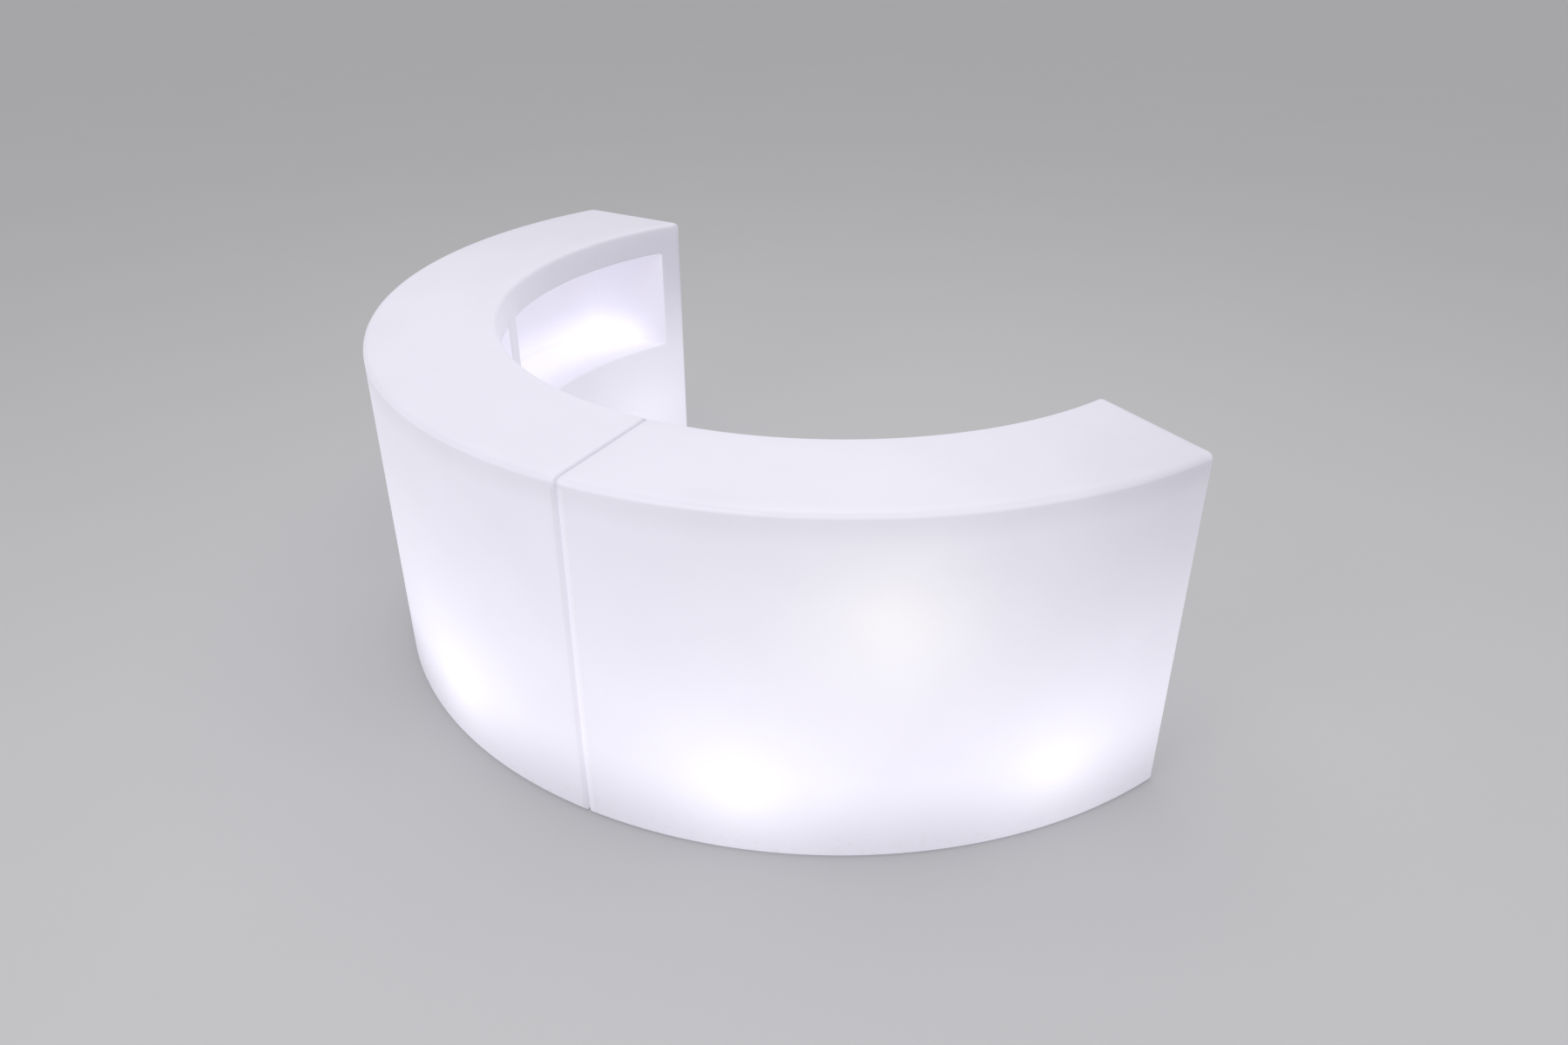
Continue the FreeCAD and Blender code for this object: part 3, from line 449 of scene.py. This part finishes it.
def floor_wear_group():
    """Mask of scuffs and dust that gather low down, near the floor."""
    tree, given, out = shader_group("floor_wear", (
        ("Place", "NodeSocketVector"),
        ("Top", "NodeSocketFloat"),
    ), ("Wear",))
    height_share = math_node(tree, "DIVIDE", level_of(tree, given["Place"]), given["Top"], clamp=True)
    low = math_node(tree, "SUBTRACT", 1.0, height_share, clamp=True)
    scuffs = noise(tree, given["Place"], SCUFF_SCALE, SCUFF_DETAIL, SCUFF_SHARPNESS)
    wear = math_node(tree, "MULTIPLY", low, ramp(tree, scuffs, SCUFF_FROM, SCUFF_TO))
    tree.links.new(wear, out.inputs["Wear"])
    return tree


# Where a place lies on the ring

def level_of(tree, place):
    """Height of a place over the floor."""
    return wire(tree, "ShaderNodeSeparateXYZ", Vector=place).outputs["Z"]


def radius_of(tree, place):
    """Distance of a place from the ring's axis."""
    spot = wire(tree, "ShaderNodeSeparateXYZ", Vector=place).outputs
    flat = wire(tree, "ShaderNodeCombineXYZ", X=spot["X"], Y=spot["Y"]).outputs[0]
    return vector_node(tree, "DISTANCE", flat, RING_AXIS)["Value"]


def from_axis(tree, place, angle):
    """Distance of a place from the ring's axis, measured along a level line at an angle."""
    turn = math.radians(angle)
    line = Vector((math.cos(turn), math.sin(turn), 0.0))
    arm = vector_node(tree, "SUBTRACT", place, RING_AXIS)[0]
    return vector_node(tree, "DOT_PRODUCT", arm, line)["Value"]


def raised(spot, outward, up):
    """Point moved away from the ring's axis and up."""
    flat = spot - RING_AXIS
    flat.z = 0.0
    return spot + flat.normalized() * outward + Vector((0.0, 0.0, up))


def turned(spot, angle):
    """Point turned round the ring's axis."""
    return RING_AXIS + Matrix.Rotation(math.radians(angle), 3, "Z") @ (spot - RING_AXIS)


def on_outer_wall(angle, level):
    """Point of the outer wall at an angle and a height."""
    turn = math.radians(angle)
    return RING_AXIS + Vector((OUTER_RADIUS * math.cos(turn), OUTER_RADIUS * math.sin(turn), level))


# Even light of the shell: by height on the outer wall
FULL_LIGHT_FROM = 0.29
FULL_LIGHT_TO = 0.40
WALL_LIGHT_FLOOR = 0.255
WALL_LIGHT_FULL = 0.447
WALL_LIGHT_HIGH = 0.413
OUTER_LIGHT_FROM = 0.004
OUTER_LIGHT_TO = 0.03

# Even light of the inner wall, the lip over the niches, the top and the niches
INNER_LIGHT_LOW = 0.35
INNER_FADE_UNDER_SHELF = 0.1
FAR_REACH = -0.60
NEAR_REACH = 0.70
LIP_LIGHT_FAR = 0.165
LIP_LIGHT_NEAR = 0.31
TOP_LIGHT_FAR = 0.25
TOP_LIGHT_NEAR = 0.33
TOP_FADE_FROM = 0.012
TOP_FADE_TO = 0.002
NICHE_LIGHT_FAR = 0.335
NICHE_LIGHT_NEAR = 0.42
NICHE_FADE = 0.15
SHELF_LIGHT = 0.52
SHELF_FRONT_LIGHT = 0.33
SHELF_FRONT_DEPTH = 0.20
SHELF_FADE_UNDER = 0.01


def niche_mask(tree):
    """Mask that is 1 on the faces inside the niches."""
    return wire(tree, "ShaderNodeAttribute", {"attribute_name": "niche_face"}).outputs["Fac"]


def top_mask(tree, place):
    """Mask that is 1 on the top face and fades out in the rounding under it."""
    level = level_of(tree, place)
    return ramp(tree, level, COUNTER_HEIGHT - TOP_FADE_FROM, COUNTER_HEIGHT - TOP_FADE_TO)


def even_light(tree, place):
    """Even part of the light that comes through: by height on the walls, apart on the top, lip and niches."""
    level = level_of(tree, place)
    radius = radius_of(tree, place)
    along = from_axis(tree, place, SEAM_ANGLE)
    rising = ramp(tree, level, FOOT_HEIGHT, FULL_LIGHT_FROM, WALL_LIGHT_FLOOR, WALL_LIGHT_FULL)
    falling = ramp(tree, level, FULL_LIGHT_TO, COUNTER_HEIGHT, 0.0, WALL_LIGHT_FULL - WALL_LIGHT_HIGH)
    outer = math_node(tree, "SUBTRACT", rising, falling)
    lip = ramp(tree, along, FAR_REACH, NEAR_REACH, LIP_LIGHT_FAR, LIP_LIGHT_NEAR)
    inner = ramp(tree, level, SHELF_HEIGHT - INNER_FADE_UNDER_SHELF, NICHE_TOP, INNER_LIGHT_LOW, lip)
    off_inner = ramp(tree, radius, INNER_RADIUS + OUTER_LIGHT_FROM, INNER_RADIUS + OUTER_LIGHT_TO)
    wall = between(tree, off_inner, inner, outer)
    top_light = ramp(tree, along, FAR_REACH, NEAR_REACH, TOP_LIGHT_FAR, TOP_LIGHT_NEAR)
    outside = between(tree, top_mask(tree, place), wall, top_light)
    shelf = ramp(tree, radius, INNER_RADIUS, INNER_RADIUS + SHELF_FRONT_DEPTH, SHELF_FRONT_LIGHT, SHELF_LIGHT)
    over_shelf = ramp(tree, level, SHELF_HEIGHT - SHELF_FADE_UNDER, SHELF_HEIGHT + NICHE_FADE)
    niche_light = ramp(tree, along, FAR_REACH, NEAR_REACH, NICHE_LIGHT_FAR, NICHE_LIGHT_NEAR)
    inside = between(tree, over_shelf, shelf, niche_light)
    return between(tree, niche_mask(tree), outside, inside)


# Uneven light: a hot spot and a broad skirt by each lamp, and a hump over the shelf of the niche behind it
SPOT_LEVEL = 0.218
SPOT_OUTWARD = 0.07
FIRST_SPOT_TURN = -4.4
SPOT_REACH = 0.08
SPOT_STRENGTH = 1.79
SKIRT_REACH = 0.472
SKIRT_STRENGTH = 0.31
HUMP_OUTWARD = 0.045
HUMP_TURN = -3.5
HUMP_REACH = 0.22
HUMP_STRENGTH = 0.12

# One soft warm spot of painted light on the right module's wall, and one dim corner of painted shade at its
# free end
SOFT_SPOT = on_outer_wall(angle=326.2, level=0.785)
SOFT_REACH = 0.289
SOFT_STRENGTH = 0.135
DIM_SPOT = on_outer_wall(angle=358.8, level=1.077)
DIM_REACH = 0.60
DIM_STRENGTH = -0.17
DIM_TOP_SHARE = 0.6

# Lighter rim round the top with a shade under it, and the shading of the two edges at the seam
EDGE_BLUR = 0.004
RIM_LIGHT = 0.015
RIM_SHADE = 0.05
RIM_SHADE_DEPTH = 0.09
SEAM_BLUR = 0.001
SEAM_LIGHT = 0.045
SEAM_SHADE = 0.06
SEAM_EDGE = 0.022
SEAM_LINE = 0.014
SEAM_LINE_SHADE = 0.09


def lamp_places():
    """Where the lamps shine from: over each globe's middle, at the level of the hot spots."""
    places = []
    for module in MODULES:
        for index in range(1, module.lamps + 1):
            low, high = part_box("%s_bulb_globe_%d" % (module.name, index))
            middle = (low + high) / 2
            places.append(Vector((middle.x, middle.y, SPOT_LEVEL)))
    places[0] = turned(places[0], FIRST_SPOT_TURN)
    return places


def summed_glow(tree, place, spots, reach, strength):
    """Glow of several spots, added up and scaled."""
    total = 0.0
    for spot in spots:
        glow = placed_group(tree, LAMP_GLOW, Place=place, Lamp=spot, Reach=reach)["Glow"]
        total = math_node(tree, "ADD", glow, total)
    return math_node(tree, "MULTIPLY", total, strength)


def dim_corner(tree, place):
    """Shade at the free end of the right module, weaker on the top face."""
    share = between(tree, top_mask(tree, place), 1.0, DIM_TOP_SHARE)
    return math_node(tree, "MULTIPLY", summed_glow(tree, place, [DIM_SPOT], DIM_REACH, DIM_STRENGTH), share)


def niche_hump(tree, place, lamps):
    """Glow on the niche's faces, over the shelf by each lamp."""
    rise = SHELF_HEIGHT - SPOT_LEVEL
    humps = [raised(turned(lamp, HUMP_TURN), HUMP_OUTWARD, rise) for lamp in lamps]
    return math_node(tree, "MULTIPLY", niche_mask(tree),
                     summed_glow(tree, place, humps, HUMP_REACH, HUMP_STRENGTH))


def rim_light(tree, place):
    """On the outer wall: a lighter rounded rim round the top, with a darker band under it."""
    level = level_of(tree, place)
    outer = ramp(tree, radius_of(tree, place), OUTER_RADIUS - 2 * EDGE_ROUND, OUTER_RADIUS - EDGE_ROUND)
    foot = COUNTER_HEIGHT - EDGE_ROUND
    rim = bar(tree, level, foot - EDGE_BLUR / 2, foot + EDGE_BLUR, COUNTER_HEIGHT - EDGE_BLUR, COUNTER_HEIGHT)
    under = bar(tree, level, foot - RIM_SHADE_DEPTH, foot - EDGE_BLUR, foot, foot + EDGE_BLUR)
    lit = math_node(tree, "MULTIPLY", rim, RIM_LIGHT)
    both = math_node(tree, "SUBTRACT", lit, math_node(tree, "MULTIPLY", under, RIM_SHADE))
    return math_node(tree, "MULTIPLY", both, outer)


def seam_light(tree, place):
    """At the seam: on the wall a darker left edge and a lighter right one, on the top a dark line."""
    offset = from_axis(tree, place, SEAM_ANGLE + 90)
    dark = bar(tree, offset, -SEAM_EDGE, -SEAM_EDGE / 2, -SEAM_BLUR, 0.0)
    pale = bar(tree, offset, 0.0, SEAM_BLUR, SEAM_EDGE - EDGE_BLUR, SEAM_EDGE + EDGE_BLUR / 2)
    line = bar(tree, offset, -SEAM_LINE, 0.0, 0.0, SEAM_LINE)
    on_wall = math_node(tree, "SUBTRACT", math_node(tree, "MULTIPLY", pale, SEAM_LIGHT),
                        math_node(tree, "MULTIPLY", dark, SEAM_SHADE))
    on_top = math_node(tree, "MULTIPLY", line, -SEAM_LINE_SHADE)
    top = ramp(tree, level_of(tree, place), COUNTER_HEIGHT - 2 * EDGE_ROUND, COUNTER_HEIGHT - EDGE_ROUND)
    return between(tree, top, on_wall, on_top)


# Colours of the light, how fast the tint follows the spots, and the clouding by the mottled wall
GLOW_COOL = rgb(0.91, 0.89, 1.0)
GLOW_WHITE = rgb(1.0, 0.985, 0.98)
GLOW_WARM = rgb(0.96, 0.94, 0.90)
SPOT_TINT = 2.5
SOFT_TINT = 6.0
CLOUD_FROM = 0.25
CLOUD_TO = 0.75
CLOUD_SHARE = 0.015


def light_through(tree, place, lamps, mottle):
    """Colour of the light that comes through the shell at a place."""
    cloud = ramp(tree, mottle, CLOUD_FROM, CLOUD_TO, 1 - CLOUD_SHARE, 1 + CLOUD_SHARE)
    light = math_node(tree, "MULTIPLY", even_light(tree, place), cloud)
    spots = [raised(lamp, SPOT_OUTWARD, 0.0) for lamp in lamps]
    hot = summed_glow(tree, place, spots, SPOT_REACH, SPOT_STRENGTH)
    broad = summed_glow(tree, place, lamps, SKIRT_REACH, SKIRT_STRENGTH)
    soft = summed_glow(tree, place, [SOFT_SPOT], SOFT_REACH, SOFT_STRENGTH)
    dim = dim_corner(tree, place)
    hump = niche_hump(tree, place, lamps)
    for part in (hot, broad, soft, dim, hump, rim_light(tree, place), seam_light(tree, place)):
        light = math_node(tree, "ADD", light, part)
    white = math_node(tree, "MULTIPLY", hot, SPOT_TINT, clamp=True)
    warm = math_node(tree, "MULTIPLY", soft, SOFT_TINT, clamp=True)
    tint = mixed(tree, warm, mixed(tree, white, GLOW_COOL, GLOW_WHITE), GLOW_WARM)
    return wire(tree, "ShaderNodeVectorMath", {"operation": "SCALE"}, i0=tint, Scale=light).outputs[0]


# Materials

def new_material(name):
    """Empty material: its tree, its shader and the place on the piece."""
    material = bpy.data.materials.new(name)
    material.use_nodes = True
    tree = material.node_tree
    place = tree.nodes.new("ShaderNodeTexCoord").outputs["Object"]
    return material, tree, tree.nodes["Principled BSDF"], place


def placed_group(tree, group, **sockets):
    """Outputs of a shared group, placed in a material with its own values."""
    node = tree.nodes.new("ShaderNodeGroup")
    node.node_tree = group
    for key, value in sockets.items():
        feed(tree, node.inputs[key.replace("_", " ")], value)
    return node.outputs


def moulded_skin(tree, place, grain, mottle):
    """Grain and mottling at a place, at the given scales."""
    return placed_group(tree, MOULDED_SKIN, Place=place, Grain_Scale=grain, Mottle_Scale=mottle)


def floor_wear(tree, place, top):
    """Wear mask at a place, which ends at a height."""
    return placed_group(tree, FLOOR_WEAR, Place=place, Top=top)["Wear"]


def mottled(tree, shader, mottle, low, high):
    """Roughness that follows the mottling."""
    tree.links.new(ramp(tree, mottle, MOTTLE_LOW, MOTTLE_HIGH, low, high), shader.inputs["Roughness"])


def bumped(tree, shader, height, strength, depth):
    """Bump on a shader."""
    bump = wire(tree, "ShaderNodeBump", None, Strength=strength, Distance=depth, Height=height)
    tree.links.new(bump.outputs["Normal"], shader.inputs["Normal"])


def shaded(colour, share):
    """Darker version of a colour."""
    return rgb(*[channel * share for channel in colour[:3]])


# Opal shell
SHELL_COLOUR_LOW = rgb(0.475, 0.463, 0.515)
SHELL_COLOUR_HIGH = rgb(0.495, 0.483, 0.535)
SHELL_DUST = rgb(0.33, 0.31, 0.29)
SHELL_DUST_SHARE = 0.35
SHELL_WEAR_TOP = 0.10
SHELL_GRAIN_SCALE = 260.0
SHELL_MOTTLE_SCALE = 5.0
SHELL_ROUGHNESS_LOW = 0.36
SHELL_ROUGHNESS_HIGH = 0.46
SHELL_SCUFF_ROUGHNESS = 0.25
SHELL_BUMP = 0.25
SHELL_BUMP_DEPTH = 0.0004
SHELL_IOR = 1.5


def opal_shell(lamps):
    """Translucent white shell lit from inside: a moulded skin, dusty low down, with light through it."""
    material, tree, shader, place = new_material("opal_shell")
    skin = moulded_skin(tree, place, SHELL_GRAIN_SCALE, SHELL_MOTTLE_SCALE)
    wear = floor_wear(tree, place, SHELL_WEAR_TOP)
    pale = mixed(tree, skin["Mottle"], SHELL_COLOUR_LOW, SHELL_COLOUR_HIGH)
    dusty = mixed(tree, math_node(tree, "MULTIPLY", wear, SHELL_DUST_SHARE), pale, SHELL_DUST)
    tree.links.new(dusty, shader.inputs["Base Color"])
    satin = ramp(tree, skin["Mottle"], MOTTLE_LOW, MOTTLE_HIGH, SHELL_ROUGHNESS_LOW, SHELL_ROUGHNESS_HIGH)
    scuffed = math_node(tree, "MULTIPLY", wear, SHELL_SCUFF_ROUGHNESS)
    tree.links.new(math_node(tree, "ADD", satin, scuffed), shader.inputs["Roughness"])
    bumped(tree, shader, skin["Grain"], SHELL_BUMP, SHELL_BUMP_DEPTH)
    shone = light_through(tree, place, lamps, skin["Mottle"])
    tree.links.new(shone, shader.inputs["Emission Color"])
    shader.inputs["Emission Strength"].default_value = 1.0
    shader.inputs["IOR"].default_value = SHELL_IOR
    return material


# Moulded plastic and rubber
PLASTIC_MOTTLE_SCALE = 22.0
PLASTIC_SHADE = 0.86
PLASTIC_ROUGHNESS_CHANGE = 0.06
PLASTIC_BUMP = 0.35
PLASTIC_BUMP_DEPTH = 0.0002
PLASTIC_WEAR_TOP = 0.08
PLASTIC_DUST_SHARE = 0.5


def moulded_plastic(name, colour, roughness, grain, dust=None):
    """Moulded plastic or rubber with a pitted grain, slight mottling and, low down, dust."""
    material, tree, shader, place = new_material(name)
    skin = moulded_skin(tree, place, grain, PLASTIC_MOTTLE_SCALE)
    painted = mixed(tree, skin["Mottle"], shaded(colour, PLASTIC_SHADE), colour)
    if dust:
        wear = floor_wear(tree, place, PLASTIC_WEAR_TOP)
        painted = mixed(tree, math_node(tree, "MULTIPLY", wear, PLASTIC_DUST_SHARE), painted, dust)
    tree.links.new(painted, shader.inputs["Base Color"])
    mottled(tree, shader, skin["Mottle"], roughness - PLASTIC_ROUGHNESS_CHANGE,
            roughness + PLASTIC_ROUGHNESS_CHANGE)
    bumped(tree, shader, skin["Grain"], PLASTIC_BUMP, PLASTIC_BUMP_DEPTH)
    return material


# Turned metal
METAL_GRAIN_SCALE = 1500.0
METAL_MOTTLE_SCALE = 120.0
METAL_SHADE = 0.7
METAL_TARNISH = 0.15
METAL_BUMP = 0.15
METAL_BUMP_DEPTH = 0.0001


def turned_metal(name, colour, roughness):
    """Bare metal with fine tooling marks and a faint tarnish."""
    material, tree, shader, place = new_material(name)
    skin = moulded_skin(tree, place, METAL_GRAIN_SCALE, METAL_MOTTLE_SCALE)
    painted = mixed(tree, skin["Mottle"], shaded(colour, METAL_SHADE), colour)
    tree.links.new(painted, shader.inputs["Base Color"])
    mottled(tree, shader, skin["Mottle"], roughness, roughness + METAL_TARNISH)
    shader.inputs["Metallic"].default_value = 1.0
    bumped(tree, shader, skin["Grain"], METAL_BUMP, METAL_BUMP_DEPTH)
    return material


# Lamp globe
GLOBE_COLOUR_LOW = rgb(0.78, 0.77, 0.74)
GLOBE_COLOUR_HIGH = rgb(0.86, 0.85, 0.83)
GLOBE_GLOW_LOW = rgb(0.75, 0.72, 0.66)
GLOBE_GLOW_HIGH = rgb(0.95, 0.93, 0.88)
GLOBE_GRAIN_SCALE = 900.0
GLOBE_MOTTLE_SCALE = 30.0
GLOBE_GRAIN_LOW = 0.3
GLOBE_GRAIN_HIGH = 0.7
GLOBE_ROUGHNESS_LOW = 0.3
GLOBE_ROUGHNESS_HIGH = 0.45


def opal_globe():
    """Frosted lamp globe with an uneven glow."""
    material, tree, shader, place = new_material("opal_globe")
    skin = moulded_skin(tree, place, GLOBE_GRAIN_SCALE, GLOBE_MOTTLE_SCALE)
    painted = mixed(tree, skin["Mottle"], GLOBE_COLOUR_LOW, GLOBE_COLOUR_HIGH)
    tree.links.new(painted, shader.inputs["Base Color"])
    glow = mixed(tree, skin["Mottle"], GLOBE_GLOW_LOW, GLOBE_GLOW_HIGH)
    tree.links.new(glow, shader.inputs["Emission Color"])
    shader.inputs["Emission Strength"].default_value = 1.0
    frosting = ramp(tree, skin["Grain"], GLOBE_GRAIN_LOW, GLOBE_GRAIN_HIGH, GLOBE_ROUGHNESS_LOW,
                    GLOBE_ROUGHNESS_HIGH)
    tree.links.new(frosting, shader.inputs["Roughness"])
    return material


# Plastics and rubbers by slot: colour, roughness, scale of the grain and, near the floor, colour of the dust
PLASTICS = {
    "cap_plastic": (rgb(0.62, 0.62, 0.64), 0.42, 500.0, rgb(0.30, 0.28, 0.25)),
    "seal_rubber": (rgb(0.05, 0.05, 0.055), 0.7, 700.0),
    "holder_plastic": (rgb(0.70, 0.69, 0.66), 0.35, 600.0),
    "box_plastic": (rgb(0.45, 0.46, 0.48), 0.45, 500.0),
    "lead_rubber": (rgb(0.04, 0.04, 0.04), 0.55, 800.0),
    "plate_plastic": (rgb(0.60, 0.59, 0.62), 0.4, 600.0),
    "black_plastic": (rgb(0.035, 0.035, 0.038), 0.4, 700.0),
    "rocker_plastic": (rgb(0.025, 0.025, 0.028), 0.28, 900.0),
    "foot_rubber": (rgb(0.06, 0.06, 0.062), 0.75, 500.0, rgb(0.25, 0.23, 0.2)),
}

# Metals by slot: colour and roughness
METALS = {
    "bulb_metal": (rgb(0.80, 0.79, 0.76), 0.22),
    "screw_steel": (rgb(0.66, 0.66, 0.67), 0.28),
    "contact_brass": (rgb(0.80, 0.62, 0.30), 0.25),
}

LAMP_GLOW = lamp_glow_group()
MOULDED_SKIN = moulded_skin_group()
FLOOR_WEAR = floor_wear_group()
MATERIALS = {"opal_shell": opal_shell(lamp_places()), "opal_globe": opal_globe()}
for slot, finish in PLASTICS.items():
    MATERIALS[slot] = moulded_plastic(slot, *finish)
for slot, finish in METALS.items():
    MATERIALS[slot] = turned_metal(slot, *finish)


# Dressing: the two shells, and finishes for the carried-over nodes

def dress_nodes():
    """Give every node the material of its slot in the record."""
    for entry in frame["record"]["subparts"]:
        piece = frame["nodes"][entry["node"]]
        piece.data.materials.clear()
        piece.data.materials.append(MATERIALS[entry["material_slot"]])


BEND = bend_tree()
for module in MODULES:
    shell = shell_piece(module, BEND, MATERIALS["opal_shell"])
    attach(shell, module.name + "_module")
    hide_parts(module.name + "_shell")
dress_nodes()


# Stage: floor, soft light and camera
FLOOR_RADIUS = 60.0
FLOOR_SIDES = 96
FLOOR_COLOUR = rgb(0.52, 0.52, 0.525)
FLOOR_SPOTS = rgb(0.535, 0.535, 0.54)
FLOOR_CLOUD_SCALE = 1.2
FLOOR_CLOUD_DETAIL = 4.0
FLOOR_ROUGHNESS = 0.8
AMBIENT = rgb(0.72, 0.72, 0.74)
BACKDROP = rgb(0.39, 0.39, 0.395)
CAMERA_SPOT = RING_AXIS + Vector((3.061, -2.596, 2.452))
CAMERA_HEADING = 52.0
CAMERA_PITCH = 29.3
CAMERA_FOCUS_PIXELS = 1369.0
IMAGE_WIDTH = 1800
SENSOR_WIDTH = 36.0


def floor_material():
    """Pale matt floor with a very faint cloud."""
    material, tree, shader, place = new_material("pale_floor")
    cloud = noise(tree, place, FLOOR_CLOUD_SCALE, FLOOR_CLOUD_DETAIL)
    tree.links.new(mixed(tree, cloud, FLOOR_COLOUR, FLOOR_SPOTS), shader.inputs["Base Color"])
    shader.inputs["Roughness"].default_value = FLOOR_ROUGHNESS
    return material


def make_floor():
    """Wide round floor under the counter."""
    mesh = bmesh.new()
    bmesh.ops.create_circle(mesh, cap_ends=True, segments=FLOOR_SIDES, radius=FLOOR_RADIUS)
    data = bpy.data.meshes.new("floor")
    mesh.to_mesh(data)
    mesh.free()
    data.materials.append(floor_material())
    floor = bpy.data.objects.new("floor", data)
    bpy.context.collection.objects.link(floor)


def soft_light(name, spot, aim, width, power):
    """Large soft area light at a spot, aimed at a point."""
    lamp = bpy.data.lights.new(name, "AREA")
    lamp.shape = "DISK"
    lamp.size = width
    lamp.energy = power
    holder = bpy.data.objects.new(name, lamp)
    holder.location = spot
    holder.rotation_euler = (Vector(aim) - Vector(spot)).to_track_quat("-Z", "Y").to_euler()
    bpy.context.collection.objects.link(holder)


def make_world():
    """Even light from all round, with a pale backdrop where the camera looks past the floor."""
    world = bpy.data.worlds.new("studio")
    world.use_nodes = True
    bpy.context.scene.world = world
    tree = world.node_tree
    seen = tree.nodes.new("ShaderNodeLightPath").outputs
    direct = math_node(tree, "MAXIMUM", seen["Is Camera Ray"], seen["Is Glossy Ray"])
    shown = math_node(tree, "MAXIMUM", direct, seen["Is Transmission Ray"])
    tree.links.new(mixed(tree, shown, AMBIENT, BACKDROP), tree.nodes["Background"].inputs["Color"])


def make_camera():
    """Camera at the photograph's viewing angle."""
    lens = bpy.data.cameras.new("camera")
    lens.sensor_width = SENSOR_WIDTH
    lens.lens = CAMERA_FOCUS_PIXELS / IMAGE_WIDTH * SENSOR_WIDTH
    camera = bpy.data.objects.new("camera", lens)
    camera.location = CAMERA_SPOT
    camera.rotation_euler = (math.radians(90 - CAMERA_PITCH), 0.0, math.radians(CAMERA_HEADING))
    bpy.context.collection.objects.link(camera)
    bpy.context.scene.camera = camera


make_floor()
make_world()
soft_light("overhead", spot=(0.0, 0.6, 5.5), aim=(0.0, 0.6, 0.0), width=5.0, power=75.0)
soft_light("front", spot=(1.5, -5.5, 3.6), aim=(0.0, 0.4, 0.6), width=3.5, power=55.0)
soft_light("side", spot=(6.0, 2.0, 3.2), aim=(0.2, 0.4, 0.5), width=3.0, power=30.0)
make_camera()
bpy.context.scene.view_settings.view_transform = "Standard"
